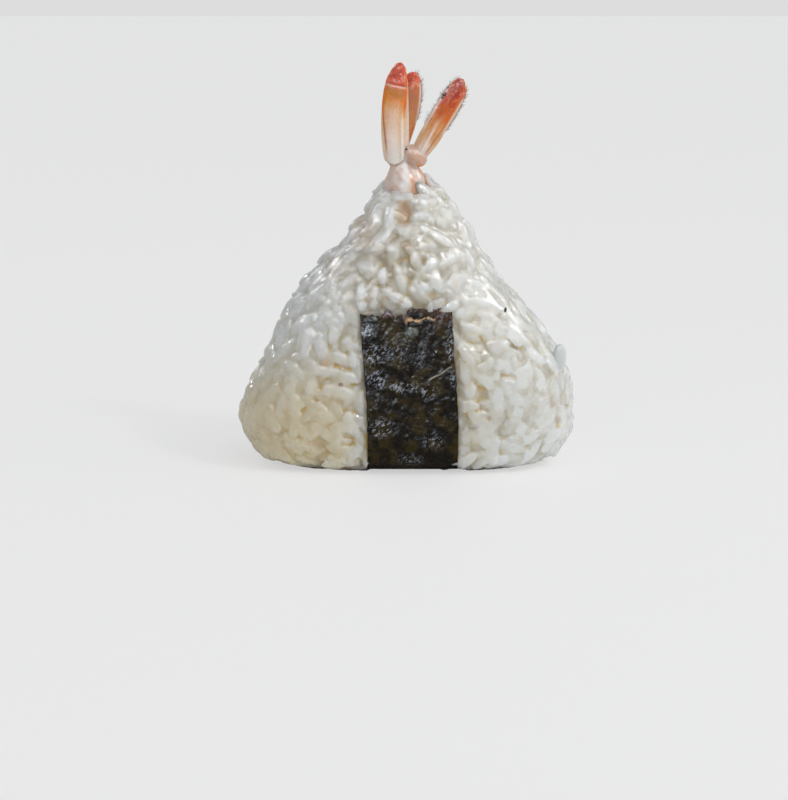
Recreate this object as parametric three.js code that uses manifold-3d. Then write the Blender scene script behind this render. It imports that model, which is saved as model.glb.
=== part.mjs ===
// Onigiri: a hand-pressed triangle of cooked rice, with a strip of nori folded under it and the tail of
// a cooked prawn standing out of its peak. Millimetres, +Z up, the nori's torn end on the -Y face, the
// origin on the surface that the rice stands on, under the middle of the part.
import * as THREE from "three";
import { mergeVertices } from "three/addons/utils/BufferGeometryUtils.js";
import { MeshSurfaceSampler } from "three/addons/math/MeshSurfaceSampler.js";
import Module from "manifold-3d";

const wasm = await Module();
wasm.setup();

// ---------------------------------------------------------------- driving dimensions

const GAP = 0.3; // between pieces that touch

const CORE = {
  bottom: 0.8, // the grains and the nori under it reach down to z = 0
  // At each height, under the grains that lie on it: where its middle is, half its width and half its depth.
  profile: [
    { z: 0.8, middle: 0.2, halfWidth: 27.6, halfDepth: 12.0 },
    { z: 2.6, middle: 0.1, halfWidth: 33.4, halfDepth: 15.4 },
    { z: 7.2, middle: -0.1, halfWidth: 37.9, halfDepth: 17.7 },
    { z: 14.5, middle: -0.1, halfWidth: 39.0, halfDepth: 18.5 },
    { z: 24.0, middle: 1.3, halfWidth: 35.8, halfDepth: 18.2 },
    { z: 34.5, middle: 0.3, halfWidth: 29.8, halfDepth: 17.2 },
    { z: 45.0, middle: -0.9, halfWidth: 22.0, halfDepth: 15.0 },
    { z: 54.5, middle: 0.4, halfWidth: 14.5, halfDepth: 12.2 },
    { z: 61.5, middle: 0.8, halfWidth: 9.9, halfDepth: 9.0 },
    { z: 66.0, middle: 0.4, halfWidth: 6.7, halfDepth: 6.6 },
  ],
  squarenessBelow: 3.1, // superellipse exponent of the level sections: flat faces at the foot
  squarenessAbove: 2.1, // and nearly round at the peak
  rings: 10,
  sides: 20,
};

const GRAIN = {
  length: 7.5,
  width: 3.5,
  thickness: 2.7,
  variation: 0.13, // share by which each size goes up or down
  sides: 5,
  shoulder: 0.3, // how far each shoulder lies from the middle, in lengths
  shoulderSize: 0.9, // of the full width
  spacing: 0.92, // least distance between two grains' lines, in widths
  wanted: 400,
  tries: 60000,
  sink: 0.16, // how far a grain's middle lies above the core, in thicknesses
  tilt: 0.2, // most slope against the core, in radians
  flankPull: 0.75, // how strongly grains on the rim turn along it
  seed: 2026,
};

// Grains that stand round the prawn where it comes out: highest on the right, lowest on the left.
const COLLAR = { count: 11, middle: 64.3, rise: 1.7, frontShare: 0.35, lean: 0.55, twist: 0.35 };

const NORI = {
  width: 21.8,
  thickness: 0.5,
  frontTop: 38.6, // height of the torn end's highest corner, on the front
  backTop: 34,
  driftTop: -0.4, // where its middle lies at the torn end and at the foot
  driftFoot: 1.2,
  // Its waves off the rice: they start above the foot, rise and fall down the strip, and lift its edges.
  waves: { from: 9, rest: 0.16, height: 0.14, pitch: 20, slant: 3, edgeLift: 0.16, edgePitch: 12 },
  along: 22,
  // The torn end: how far below its highest corner it lies, at places across from -1 to 1.
  tear: [
    [-1, 1.4],
    [-0.72, 1.6],
    [-0.45, 2.1],
    [-0.37, 1.1],
    [-0.27, 1.3],
    [-0.19, 2.9],
    [-0.02, 3.3],
    [0.05, 0.9],
    [0.42, 0.2],
    [0.78, 0.0],
    [1, 1.0],
  ],
  // The crack under the torn corner: its ends across, and how far below the highest corner it starts.
  crack: { from: -0.8, to: 6.4, below: 2.7, rise: 0.6, width: 0.6, jag: 0.28, steps: 5, depth: 12 },
};

const PRAWN = {
  // The tail's last segment, from its end in the rice to the joint: its middle and its half width.
  segment: [
    { z: 54.0, middle: -0.6, halfWidth: 4.8 },
    { z: 57.0, middle: -0.7, halfWidth: 5.8 },
    { z: 61.0, middle: -0.8, halfWidth: 6.1 },
    { z: 64.5, middle: -0.8, halfWidth: 5.8 },
    { z: 67.2, middle: -0.7, halfWidth: 5.3 },
    { z: 69.8, middle: -0.5, halfWidth: 4.6 },
    { z: 72.2, middle: -0.8, halfWidth: 3.4 },
    { z: 74.6, middle: -0.9, halfWidth: 2.3 },
  ],
  depthShare: 0.86,
  sides: 14,
  rings: 9,
};

// The two knuckles that carry the tail's blades.
const KNUCKLES = [
  { at: [-3.3, 0.2, 75.3], size: [2.3, 1.9, 2.9], lean: 0.05 },
  { at: [1.8, 0.2, 74.9], size: [2.3, 1.9, 2.9], lean: 0.5 },
];

// Blades: where the middle line starts, passes and ends, half the width, and which way the face looks.
const BLADES = {
  tail_blade_left_outer: {
    line: [
      [-3.0, -1.8, 73.4],
      [-3.6, -2.4, 85.5],
      [-2.1, -1.8, 97.2],
    ],
    halfWidth: 2.85,
    turn: -0.15,
  },
  tail_blade_left_inner: {
    line: [
      [-1.7, 2.8, 74.2],
      [0.5, 2.7, 85],
      [1.2, 2.2, 94.6],
    ],
    halfWidth: 2.4,
    turn: 0.2,
  },
  tail_blade_right_inner: {
    line: [
      [1.2, -1.8, 73.2],
      [6.5, -2.3, 83.4],
      [12.4, -1.7, 93.5],
    ],
    halfWidth: 2.5,
    turn: 0.15,
  },
  tail_blade_right_outer: {
    line: [
      [2.4, 2.8, 73.8],
      [7.8, 2.5, 83.2],
      [12.9, 1.9, 91.8],
    ],
    halfWidth: 2.35,
    turn: -0.1,
  },
};
const BLADE = {
  thickness: 0.8,
  cup: 0.7, // how far the middle stands before the edges
  keel: 0.35,
  keelWidth: 0.3, // of half the blade's width
  rootShare: 0.55, // width at the root, of the full width
  widest: 0.32, // where it reaches its full width, along it
  roundFrom: 0.62, // where the tip's curve starts, along it
  roundness: 2.6, // exponent of that curve
  tipShare: 0.2, // width left at the very tip
  crowding: 1.4, // exponent that draws the rows together at the tip
  across: 6,
  along: 8,
};

// The pointed middle spine of the tail.
const SPINE = {
  root: [-1.2, -0.2, 76],
  tip: [-0.1, -0.4, 92.8],
  halfWidth: 1,
  halfDepth: 0.55,
  taper: 1.4, // exponent
  sides: 6,
  rings: 6,
};

const COLOURS = {
  rice: { color: 0xe9e4d8, roughness: 0.38, metalness: 0 },
  nori: { color: 0x1b1a12, roughness: 0.45, metalness: 0 },
  flesh: { color: 0xe8c9b4, roughness: 0.4, metalness: 0 },
  shell: { color: 0xd9692a, roughness: 0.3, metalness: 0 },
};

// ---------------------------------------------------------------- helpers

/** A repeatable stream of numbers from 0 to 1. */
function seeded(seed) {
  let state = seed;
  return () => {
    state = (state + 0x6d2b79f5) | 0;
    let t = Math.imul(state ^ (state >>> 15), 1 | state);
    t = (t + Math.imul(t ^ (t >>> 7), 61 | t)) ^ t;
    return ((t ^ (t >>> 14)) >>> 0) / 4294967296;
  };
}

const lerp = THREE.MathUtils.lerp;
const smoothstep = THREE.MathUtils.smoothstep;

/** Reads a column of a table of heights, smoothly between its rows. */
function column(table, key) {
  const curve = new THREE.CatmullRomCurve3(
    table.map((row) => new THREE.Vector3(row[key], row.z, 0)),
    false,
    "centripetal",
  );
  const points = curve.getPoints(table.length * 12);
  return (z) => {
    const i = points.findIndex((p) => p.y >= z);
    if (i < 0) return points.at(-1).x;
    if (i === 0) return points[0].x;
    const share = (z - points[i - 1].y) / (points[i].y - points[i - 1].y);
    return lerp(points[i - 1].x, points[i].x, share);
  };
}

/** An indexed geometry from vertices and triangles. */
function geometryOf(vertices, triangles) {
  return new THREE.BufferGeometry()
    .setFromPoints(vertices)
    .setIndex(triangles.flat());
}

/** A closed skin over rings of equal count, anticlockwise round the way they go, with a point at each end. */
function loft(rings, start, end) {
  const n = rings[0].length;
  const vertices = [start, ...rings.flat(), end];
  const last = vertices.length - 1;
  const triangles = [];
  for (let i = 0; i < n; i++) {
    const j = (i + 1) % n;
    triangles.push([0, 1 + j, 1 + i]);
    for (let r = 0; r + 1 < rings.length; r++) {
      const [a, b] = [1 + r * n + i, 1 + r * n + j];
      triangles.push([a, b, b + n], [a, b + n, a + n]);
    }
    const top = 1 + (rings.length - 1) * n;
    triangles.push([top + i, top + j, last]);
  }
  return geometryOf(vertices, triangles);
}

/** A closed plate between two faces: outer(i, j) and inner(i, j) give their points, i across and j along. */
function plate(across, along, outer, inner) {
  const vertices = [];
  const at = (side, i, j) => side * (across + 1) * (along + 1) + j * (across + 1) + i;
  for (const face of [outer, inner])
    for (let j = 0; j <= along; j++)
      for (let i = 0; i <= across; i++) vertices.push(face(i, j));
  const triangles = [];
  const quad = (a, b, c, d) => triangles.push([a, b, c], [a, c, d]);
  for (let j = 0; j < along; j++)
    for (let i = 0; i < across; i++) {
      quad(at(0, i, j), at(0, i + 1, j), at(0, i + 1, j + 1), at(0, i, j + 1));
      // The inner face has the same diagonals, seen from the other side.
      triangles.push([at(1, i, j), at(1, i + 1, j + 1), at(1, i + 1, j)]);
      triangles.push([at(1, i, j), at(1, i, j + 1), at(1, i + 1, j + 1)]);
    }
  for (let i = 0; i < across; i++) {
    quad(at(1, i, 0), at(1, i + 1, 0), at(0, i + 1, 0), at(0, i, 0));
    quad(at(0, i, along), at(0, i + 1, along), at(1, i + 1, along), at(1, i, along));
  }
  for (let j = 0; j < along; j++) {
    quad(at(1, 0, j + 1), at(1, 0, j), at(0, 0, j), at(0, 0, j + 1));
    quad(at(0, across, j + 1), at(0, across, j), at(1, across, j), at(1, across, j + 1));
  }
  return geometryOf(vertices, triangles);
}

/** A closed geometry as a solid for joins and cuts. */
function solidOf(geometry) {
  const bare = geometry.clone();
  for (const name of ["normal", "uv"]) bare.deleteAttribute(name);
  const merged = mergeVertices(bare, 1e-4);
  return new wasm.Manifold(
    new wasm.Mesh({
      numProp: 3,
      vertProperties: new Float32Array(merged.attributes.position.array),
      triVerts: new Uint32Array(merged.index.array),
    }),
  );
}

/** A solid back as a geometry. */
function geometryFrom(solid) {
  const mesh = solid.getMesh();
  return new THREE.BufferGeometry()
    .setAttribute("position", new THREE.BufferAttribute(mesh.vertProperties, 3))
    .setIndex(new THREE.BufferAttribute(mesh.triVerts, 1));
}

/** The largest body of a solid, without the loose scraps that a cut leaves. */
function largestBody(solid) {
  return solid.decompose().sort((a, b) => b.volume() - a.volume())[0];
}

function namedMesh(name, geometry, look) {
  const mesh = new THREE.Mesh(
    geometry,
    new THREE.MeshStandardMaterial({ ...look, name }),
  );
  mesh.name = name;
  return mesh;
}

// ---------------------------------------------------------------- the rice core

const coreMiddle = column(CORE.profile, "middle");
const coreHalfWidth = column(CORE.profile, "halfWidth");
const coreHalfDepth = column(CORE.profile, "halfDepth");
const coreTop = CORE.profile.at(-1).z;

/** The exponent of the level section at a height. */
function squareness(z) {
  const up = smoothstep(z, 25, coreTop);
  return lerp(CORE.squarenessBelow, CORE.squarenessAbove, up);
}

/** How far the core's face stands from its middle plane, at a place across and a height. */
function coreDepthAt(x, z) {
  const n = squareness(z);
  const share = Math.min(Math.abs(x - coreMiddle(z)) / coreHalfWidth(z), 1);
  return coreHalfDepth(z) * (1 - share ** n) ** (1 / n);
}

/** One level section of the core, anticlockwise seen from above. */
function coreRing(z, sides) {
  const power = 2 / squareness(z);
  const bend = (v) => Math.sign(v) * Math.abs(v) ** power;
  return Array.from({ length: sides }, (_, i) => {
    const a = (2 * Math.PI * i) / sides;
    return new THREE.Vector3(
      coreMiddle(z) + coreHalfWidth(z) * bend(Math.cos(a)),
      coreHalfDepth(z) * bend(Math.sin(a)),
      z,
    );
  });
}

function coreGeometry() {
  const rings = Array.from({ length: CORE.rings }, (_, i) => {
    // Rings lie closer together where the foot turns under.
    const share = (i / (CORE.rings - 1)) ** 1.35;
    return coreRing(lerp(CORE.bottom, coreTop, share), CORE.sides);
  });
  return loft(
    rings,
    new THREE.Vector3(0, 0, CORE.bottom),
    new THREE.Vector3(0, 0, coreTop + 0.8),
  );
}

// ---------------------------------------------------------------- the grains on the core

/** Whether a point lies where the nori goes. */
function underNori(point) {
  const top = point.y < 0 ? NORI.frontTop : NORI.backTop;
  return point.z < top && Math.abs(point.x - noriMiddle(point.z)) < NORI.width / 2;
}

/** Whether a point lies where the prawn's segment goes. */
function inPrawn(point) {
  if (point.z < PRAWN.segment[0].z) return false;
  const away = point.clone().sub(prawnMiddle(point.z));
  return Math.hypot(away.x, away.y / PRAWN.depthShare) < prawnHalfWidth(point.z);
}

/** One grain along X, its broad side up. */
function grainGeometry({ length, width, thickness }) {
  const rings = [-GRAIN.shoulder, GRAIN.shoulder].map((share) =>
    Array.from({ length: GRAIN.sides }, (_, i) => {
      const a = (2 * Math.PI * (i + 0.25)) / GRAIN.sides;
      return new THREE.Vector3(
        share * length,
        (GRAIN.shoulderSize * Math.cos(a) * width) / 2,
        (GRAIN.shoulderSize * Math.sin(a) * thickness) / 2,
      );
    }),
  );
  return loft(
    rings,
    new THREE.Vector3(-length / 2, 0, 0),
    new THREE.Vector3(length / 2, 0, 0),
  );
}

/** A grain's line of points along its length, and the matrix that puts it there. */
function placedGrain(size, middle, axis, normal) {
  const side = new THREE.Vector3().crossVectors(normal, axis).normalize();
  const up = new THREE.Vector3().crossVectors(axis, side).normalize();
  const line = [-1 / 3, 0, 1 / 3].map((share) =>
    middle.clone().addScaledVector(axis, share * size.length),
  );
  const frame = new THREE.Matrix4().makeBasis(axis, side, up).setPosition(middle);
  return { size, line, frame };
}

/** The grains that stand all round the prawn where it comes out. */
function collarGrains() {
  const size = GRAIN;
  return Array.from({ length: COLLAR.count }, (_, i) => {
    const a = (2 * Math.PI * i) / COLLAR.count;
    const outward = new THREE.Vector3(Math.cos(a), Math.sin(a), 0);
    const round = new THREE.Vector3(-outward.y, outward.x, 0);
    const z = COLLAR.middle + COLLAR.rise * (outward.x + COLLAR.frontShare * outward.y);
    const middle = new THREE.Vector3(
      coreMiddle(z) + coreHalfWidth(z) * outward.x,
      coreHalfDepth(z) * outward.y,
      z,
    );
    const axis = new THREE.Vector3(0, 0, 1)
      .addScaledVector(outward, -COLLAR.lean)
      .addScaledVector(round, COLLAR.twist * Math.sin(5 * i))
      .normalize();
    return placedGrain(size, middle, axis, outward);
  });
}

/** Where each grain lies, spread evenly over the core, the largest first. */
function grainPlaces(core) {
  const random = seeded(GRAIN.seed);
  const sampler = new MeshSurfaceSampler(
    new THREE.Mesh(core.toNonIndexed()),
  );
  sampler.setRandomGenerator(random).build();
  const vary = () => 1 + GRAIN.variation * (2 * random() - 1);
  const sizes = Array.from({ length: GRAIN.wanted }, () => ({
    length: GRAIN.length * vary(),
    width: GRAIN.width * vary(),
    thickness: GRAIN.thickness * vary(),
  })).sort((a, b) => b.length - a.length);

  const placed = collarGrains();
  const point = new THREE.Vector3();
  const normal = new THREE.Vector3();
  for (let i = 0; i < GRAIN.tries && placed.length < sizes.length; i++) {
    const size = sizes[placed.length];
    sampler.sample(point, normal);
    // On the rim a grain tends to lie along it; on the faces it lies any way round.
    const alongRim = new THREE.Vector3(0, 1, 0).cross(normal);
    const onRim = alongRim.length();
    if (onRim < 1e-3) alongRim.set(1, 0, 0);
    const spin = (random() - 0.5) * Math.PI * (1 - GRAIN.flankPull * onRim ** 4);
    const axis = alongRim.normalize().applyAxisAngle(normal, spin + (random() - 0.5) * 0.4);
    const side = new THREE.Vector3().crossVectors(normal, axis).normalize();
    axis.applyAxisAngle(side, (2 * random() - 1) * GRAIN.tilt).normalize();
    const middle = point.clone().addScaledVector(normal, GRAIN.sink * size.thickness);
    const grain = placedGrain(size, middle, axis, normal);
    if (grain.line.some((p) => underNori(p) || inPrawn(p))) continue;
    const crowded = placed.some((other) =>
      other.line.some((p) =>
        grain.line.some((q) => p.distanceTo(q) < GRAIN.spacing * size.width),
      ),
    );
    if (!crowded) placed.push(grain);
  }
  return placed;
}

/** The core with its grains fused on, cut flat underneath and opened for the prawn and the nori. */
function riceGeometry() {
  const core = coreGeometry();
  const grains = grainPlaces(core).map(({ size, frame }) =>
    solidOf(grainGeometry(size).applyMatrix4(frame)),
  );
  const room = 200;
  const above = new THREE.BoxGeometry(room, room, room).translate(0, 0, room / 2);
  const rice = wasm.Manifold.union([solidOf(core), ...grains])
    .intersect(solidOf(above))
    .subtract(solidOf(prawnSegmentGeometry(GAP)))
    .subtract(solidOf(noriGeometry(GAP, GRAIN.width)));
  return geometryFrom(largestBody(rice));
}

// ---------------------------------------------------------------- the nori

/** Where the strip's middle lies at a height. */
function noriMiddle(z) {
  return lerp(NORI.driftFoot, NORI.driftTop, smoothstep(z, 12, NORI.frontTop));
}

/** The strip's line on the core's middle section: down the front, under the foot and up the back. */
const noriLine = (() => {
  const steps = 60;
  const footDepth = CORE.profile[0].halfDepth;
  const face = (top, side) =>
    Array.from({ length: steps + 1 }, (_, i) => {
      const z = lerp(top, CORE.bottom, i / steps);
      return new THREE.Vector2(side * coreHalfDepth(z), z);
    });
  return new THREE.SplineCurve([
    ...face(NORI.frontTop, -1),
    ...[-0.5, 0, 0.5].map((share) => new THREE.Vector2(share * footDepth, CORE.bottom)),
    ...face(NORI.backTop, 1).reverse(),
  ]);
})();

/** How far the strip stands off its place on the core, s across from -1 to 1 and at a height. */
function noriWave(s, z) {
  const { from, rest, height, pitch, slant, edgeLift, edgePitch } = NORI.waves;
  const wave = rest + height * Math.sin((2 * Math.PI * z) / pitch + slant * s);
  const edge = edgeLift * s * s * Math.sin((2 * Math.PI * z) / edgePitch + 1.7);
  return Math.max(wave + edge, 0) * smoothstep(z, CORE.bottom, from);
}

/** The way out of the core's broad face at a place, straight down under the foot. */
function noriNormal(x, y, z) {
  const step = 0.4;
  if (z < CORE.bottom + 0.05) return new THREE.Vector3(0, 0, -1);
  const depth = (height) => coreDepthAt(x, Math.max(height, CORE.bottom));
  const slope = (depth(z + step) - depth(z - step)) / (2 * step);
  return new THREE.Vector3(0, Math.sign(y), -slope).normalize();
}

/** The strip as a thin wavy solid, or the room to cut for it: grown at its edges, inwards and far outwards. */
function noriGeometry(room = 0, headroom = 0) {
  const half = NORI.width / 2 + room;
  const length = noriLine.getLength();
  const across = NORI.tear.length - 1;
  const place = (i, j, lift) => {
    const [s, torn] = NORI.tear[across - i];
    const t = lerp((torn - room) / length, 1 + room / length, j / NORI.along);
    const onLine = noriLine.getPointAt(THREE.MathUtils.clamp(t, 0, 1));
    const z = Math.max(onLine.y, CORE.bottom);
    const x = noriMiddle(z) + s * half;
    const y = Math.sign(onLine.x) * Math.min(Math.abs(onLine.x), coreDepthAt(x, z));
    return new THREE.Vector3(x, y, z)
      .addScaledVector(noriNormal(x, y, z), GAP + noriWave(s, z) + lift);
  };
  return plate(
    across,
    NORI.along,
    (i, j) => place(i, j, NORI.thickness + headroom),
    (i, j) => place(i, j, -0.9 * room), // a hair off the bare core
  );
}

/** The crack under the torn corner, as a jagged bar through the front of the strip. */
function crackGeometry() {
  const { from, to, below, rise, width, jag, steps, depth } = NORI.crack;
  const edge = (side) =>
    Array.from({ length: steps + 1 }, (_, i) => {
      const share = i / steps;
      const taper = side * (width / 2) * (1.15 - share);
      const middle = rise * share - below + jag * Math.sin(4.1 * i);
      return new THREE.Vector2(lerp(from, to, share), middle + taper);
    });
  const outline = new THREE.Shape([...edge(-1), ...edge(1).reverse()]);
  return new THREE.ExtrudeGeometry(outline, { depth, bevelEnabled: false })
    .rotateX(Math.PI / 2)
    .translate(0, -coreHalfDepth(NORI.frontTop), NORI.frontTop);
}

function tornNoriGeometry() {
  return geometryFrom(largestBody(solidOf(noriGeometry()).subtract(solidOf(crackGeometry()))));
}

// ---------------------------------------------------------------- the prawn

const prawnHalfWidth = column(PRAWN.segment, "halfWidth");
const prawnMiddleX = column(PRAWN.segment, "middle");

/** The middle of the tail segment at a height. */
function prawnMiddle(z) {
  return new THREE.Vector3(prawnMiddleX(z), 0, z);
}

/** The tail's last segment, from its end in the rice to the joint, grown by room where a cut needs it. */
function prawnSegmentGeometry(room = 0) {
  const low = PRAWN.segment[0].z - room;
  const high = PRAWN.segment.at(-1).z + room;
  const rings = Array.from({ length: PRAWN.rings }, (_, i) => {
    const z = lerp(low, high, i / (PRAWN.rings - 1));
    return Array.from({ length: PRAWN.sides }, (_, k) => {
      const a = (2 * Math.PI * k) / PRAWN.sides;
      const round = new THREE.Vector3(Math.cos(a), PRAWN.depthShare * Math.sin(a), 0);
      return prawnMiddle(z).addScaledVector(round, prawnHalfWidth(z) + room);
    });
  });
  return loft(rings, prawnMiddle(low - 1.2), prawnMiddle(high + 0.5));
}

/** One knuckle, grown by room where a cut needs it. */
function knuckleGeometry({ at, size, lean }, room = 0) {
  return new THREE.IcosahedronGeometry(1, 1)
    .scale(...size.map((half) => half + room))
    .rotateY(lean)
    .translate(...at);
}

/** The segment and the two knuckles as one body. */
function prawnBodySolid(room = 0) {
  return wasm.Manifold.union([
    solidOf(prawnSegmentGeometry(room)),
    ...KNUCKLES.map((knuckle) => solidOf(knuckleGeometry(knuckle, room))),
  ]);
}

/** One cupped blade with a raised keel, rounded at its tip. */
function bladeGeometry({ line, halfWidth, turn }) {
  const middleLine = new THREE.CatmullRomCurve3(line.map((p) => new THREE.Vector3(...p)));
  const front = new THREE.Vector3(Math.sin(turn), -Math.cos(turn), 0);
  const place = (i, j, side) => {
    const t = 1 - (1 - j / BLADE.along) ** BLADE.crowding;
    const s = (2 * i) / BLADE.across - 1;
    const along = middleLine.getTangentAt(t);
    const acrossWay = new THREE.Vector3().crossVectors(along, front).normalize();
    const facing = new THREE.Vector3().crossVectors(acrossWay, along).normalize();
    const swell = Math.sin((Math.min(t / BLADE.widest, 1) * Math.PI) / 2);
    const toTip = Math.max(t - BLADE.roundFrom, 0) / (1 - BLADE.roundFrom);
    const round = Math.max((1 - toTip ** BLADE.roundness) ** (1 / BLADE.roundness), BLADE.tipShare);
    const w = halfWidth * lerp(BLADE.rootShare, 1, swell) * round;
    const keel = BLADE.keel * Math.exp(-((s / BLADE.keelWidth) ** 2)) * (1 - t);
    const thick = BLADE.thickness * (1 - 0.55 * Math.abs(s) ** 3) * (1.2 - 0.5 * t);
    const lift = BLADE.cup * (1 - s * s) + (side > 0 ? thick / 2 + keel : -thick / 2);
    return middleLine
      .getPointAt(t)
      .addScaledVector(acrossWay, s * w)
      .addScaledVector(facing, lift);
  };
  return plate(
    BLADE.across,
    BLADE.along,
    (i, j) => place(i, j, 1),
    (i, j) => place(i, j, -1),
  );
}

/** A piece of the tail, cut back to fit against the knuckles that carry it. */
function seated(geometry, body) {
  return geometryFrom(largestBody(solidOf(geometry).subtract(body)));
}

/** The pointed middle spine of the tail. */
function spineGeometry() {
  const root = new THREE.Vector3(...SPINE.root);
  const tip = new THREE.Vector3(...SPINE.tip);
  const rings = Array.from({ length: SPINE.rings }, (_, i) => {
    const t = i / SPINE.rings;
    const size = 1 - 0.85 * t ** SPINE.taper;
    return Array.from({ length: SPINE.sides }, (_, k) => {
      const a = (2 * Math.PI * (k + 0.5)) / SPINE.sides;
      const round = new THREE.Vector3(
        SPINE.halfWidth * Math.cos(a),
        SPINE.halfDepth * Math.sin(a),
        0,
      );
      return root.clone().lerp(tip, t).addScaledVector(round, size);
    });
  });
  return loft(rings, root.clone().setZ(root.z - 0.3), tip);
}

// ---------------------------------------------------------------- the part

const onigiri = new THREE.Group();
onigiri.name = "onigiri";
onigiri.add(namedMesh("rice", riceGeometry(), COLOURS.rice));
onigiri.add(namedMesh("nori", tornNoriGeometry(), COLOURS.nori));
onigiri.add(namedMesh("prawn_body", geometryFrom(prawnBodySolid()), COLOURS.flesh));
const roomForBody = prawnBodySolid(GAP);
onigiri.add(namedMesh("tail_spine", seated(spineGeometry(), roomForBody), COLOURS.shell));
for (const [name, blade] of Object.entries(BLADES))
  onigiri.add(namedMesh(name, seated(bladeGeometry(blade), roomForBody), COLOURS.shell));

export default onigiri;
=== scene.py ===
"""Dresses a prawn onigiri: pressed cooked rice, a torn strip of nori and the tail of a cooked prawn.

Shapes are worked out in millimetres, in the frame's own axes, and scaled to metres when a mesh is made.
"""

import logging
from collections.abc import Callable, Sequence
from dataclasses import dataclass, field
from enum import Enum

import bmesh
import bpy
import numpy as np
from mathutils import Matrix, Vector
from mathutils.kdtree import KDTree


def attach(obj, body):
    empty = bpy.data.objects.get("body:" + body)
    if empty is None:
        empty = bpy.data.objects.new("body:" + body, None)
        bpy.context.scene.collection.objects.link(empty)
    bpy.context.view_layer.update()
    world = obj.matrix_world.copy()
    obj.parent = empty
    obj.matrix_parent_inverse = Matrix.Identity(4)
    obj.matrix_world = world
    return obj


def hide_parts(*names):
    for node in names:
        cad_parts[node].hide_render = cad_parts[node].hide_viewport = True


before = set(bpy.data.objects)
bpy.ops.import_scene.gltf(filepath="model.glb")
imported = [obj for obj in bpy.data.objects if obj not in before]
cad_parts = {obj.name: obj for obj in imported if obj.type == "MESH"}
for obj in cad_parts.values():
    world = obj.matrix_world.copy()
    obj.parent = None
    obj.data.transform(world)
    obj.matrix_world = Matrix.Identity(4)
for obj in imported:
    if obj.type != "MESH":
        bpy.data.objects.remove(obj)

log = logging.getLogger("onigiri")

MM = 0.001
BODY = "root"
Array = np.ndarray
Faces = list[list[int]]
Colour = tuple[float, float, float]
Point = tuple[float, float, float]
Row = tuple[float, ...]
Node = bpy.types.Node
Socket = bpy.types.NodeSocket
Thing = bpy.types.Object


# ---- numbers


def ease(value: Array, low: float, high: float) -> Array:
    """Rises smoothly from 0 at low to 1 at high."""
    share = np.clip((value - low) / (high - low), 0.0, 1.0)
    return share * share * (3.0 - 2.0 * share)


def bell(value: Array, middle: float | Array, width: float) -> Array:
    """1 at the middle, falling smoothly to about a third one width away from it."""
    return np.exp(-(((value - middle) / width) ** 2))


def from_patch(points: Array, x: float, z: float, wide: float, tall: float) -> Array:
    """How far each point lies from a patch's middle, seen from the front: squared, and 1 at its border."""
    return ((points[:, 0] - x) / wide) ** 2 + ((points[:, 2] - z) / tall) ** 2


def leaning(angle: float) -> Array:
    """The matrix that leans rows of x, y, z about the y axis."""
    return np.array([[np.cos(angle), 0, np.sin(angle)], [0, 1, 0], [-np.sin(angle), 0, np.cos(angle)]]).T


def circle(count: int) -> Array:
    """That many angles, evenly round a circle."""
    return np.linspace(0.0, 2.0 * np.pi, count, endpoint=False)


def xyz(x: Array | float, y: Array | float, z: Array | float) -> Array:
    """Rows of x, y and z."""
    return np.stack(np.broadcast_arrays(x, y, z), axis=-1)


def unit(vectors: Array) -> Array:
    """The vectors at length 1."""
    return vectors / np.maximum(np.linalg.norm(vectors, axis=-1, keepdims=True), 1e-9)


def lattice(cells: Array, seed: int) -> Array:
    """A repeatable value from 0 to 1 for each whole-number cell.

    Args:
        cells: whole numbers, the last axis holding x, y and z.
        seed: picks another set of values.

    Returns:
        One value for each cell.
    """
    c = cells.astype(np.int64)
    mixed = c[..., 0] * 374761393 + c[..., 1] * 668265263 + c[..., 2] * 2147483629 + seed * 974634777
    mixed = (mixed ^ (mixed >> 13)) & 0xFFFFFFFF
    mixed = (mixed * 1274126177) & 0xFFFFFFFF
    return ((mixed ^ (mixed >> 16)) & 0xFFFFFF) / 0xFFFFFF


def noise(points: Array, size: float, seed: int = 0, octaves: int = 1) -> Array:
    """Smooth value noise.

    Args:
        points: places, one a row.
        size: length of the largest waves.
        seed: picks another pattern.
        octaves: how many layers, each half as large and half as strong.

    Returns:
        Values from about -1 to 1.
    """
    total = np.zeros(len(points))
    for octave in range(octaves):
        scaled = points * (2.0**octave / size)
        cell = np.floor(scaled)
        part = scaled - cell
        part = part * part * (3.0 - 2.0 * part)
        value = np.zeros(len(points))
        for corner in np.ndindex(2, 2, 2):
            weight = np.prod(np.where(corner, part, 1.0 - part), axis=1)
            value += weight * lattice(cell + np.array(corner), seed + 17 * octave)
        total += (2.0 * value - 1.0) * 0.5**octave
    return total


def curve_through(heights: Sequence[float], values: Sequence[float]) -> Callable[[Array], Array]:
    """A smooth function of height through the given values, level beyond its ends."""
    x, y = np.array(heights, float), np.array(values, float)
    slope = np.gradient(y, x)

    def read(z: Array) -> Array:
        z = np.clip(z, x[0], x[-1])
        i = np.clip(np.searchsorted(x, z) - 1, 0, len(x) - 2)
        step = x[i + 1] - x[i]
        t = (z - x[i]) / step
        rise = y[i] * (1 + 2 * t) * (1 - t) ** 2 + y[i + 1] * t * t * (3 - 2 * t)
        return rise + step * (slope[i] * t * (1 - t) ** 2 + slope[i + 1] * t * t * (t - 1))

    return read


def bezier(points: Sequence[Sequence[float]], t: Array) -> Array:
    """Places along the quadratic curve that starts at, passes and ends at three points."""
    start, passed, end = (np.array(p, float) for p in points)
    control = 2 * passed - (start + end) / 2
    t = t[..., None]
    return (1 - t) ** 2 * start + 2 * t * (1 - t) * control + t**2 * end


# ---- meshes


def in_scene(name: str, data: bpy.types.ID) -> Thing:
    """A new object of the scene that shows the data."""
    made = bpy.data.objects.new(name, data)
    bpy.context.scene.collection.objects.link(made)
    return made


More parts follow.
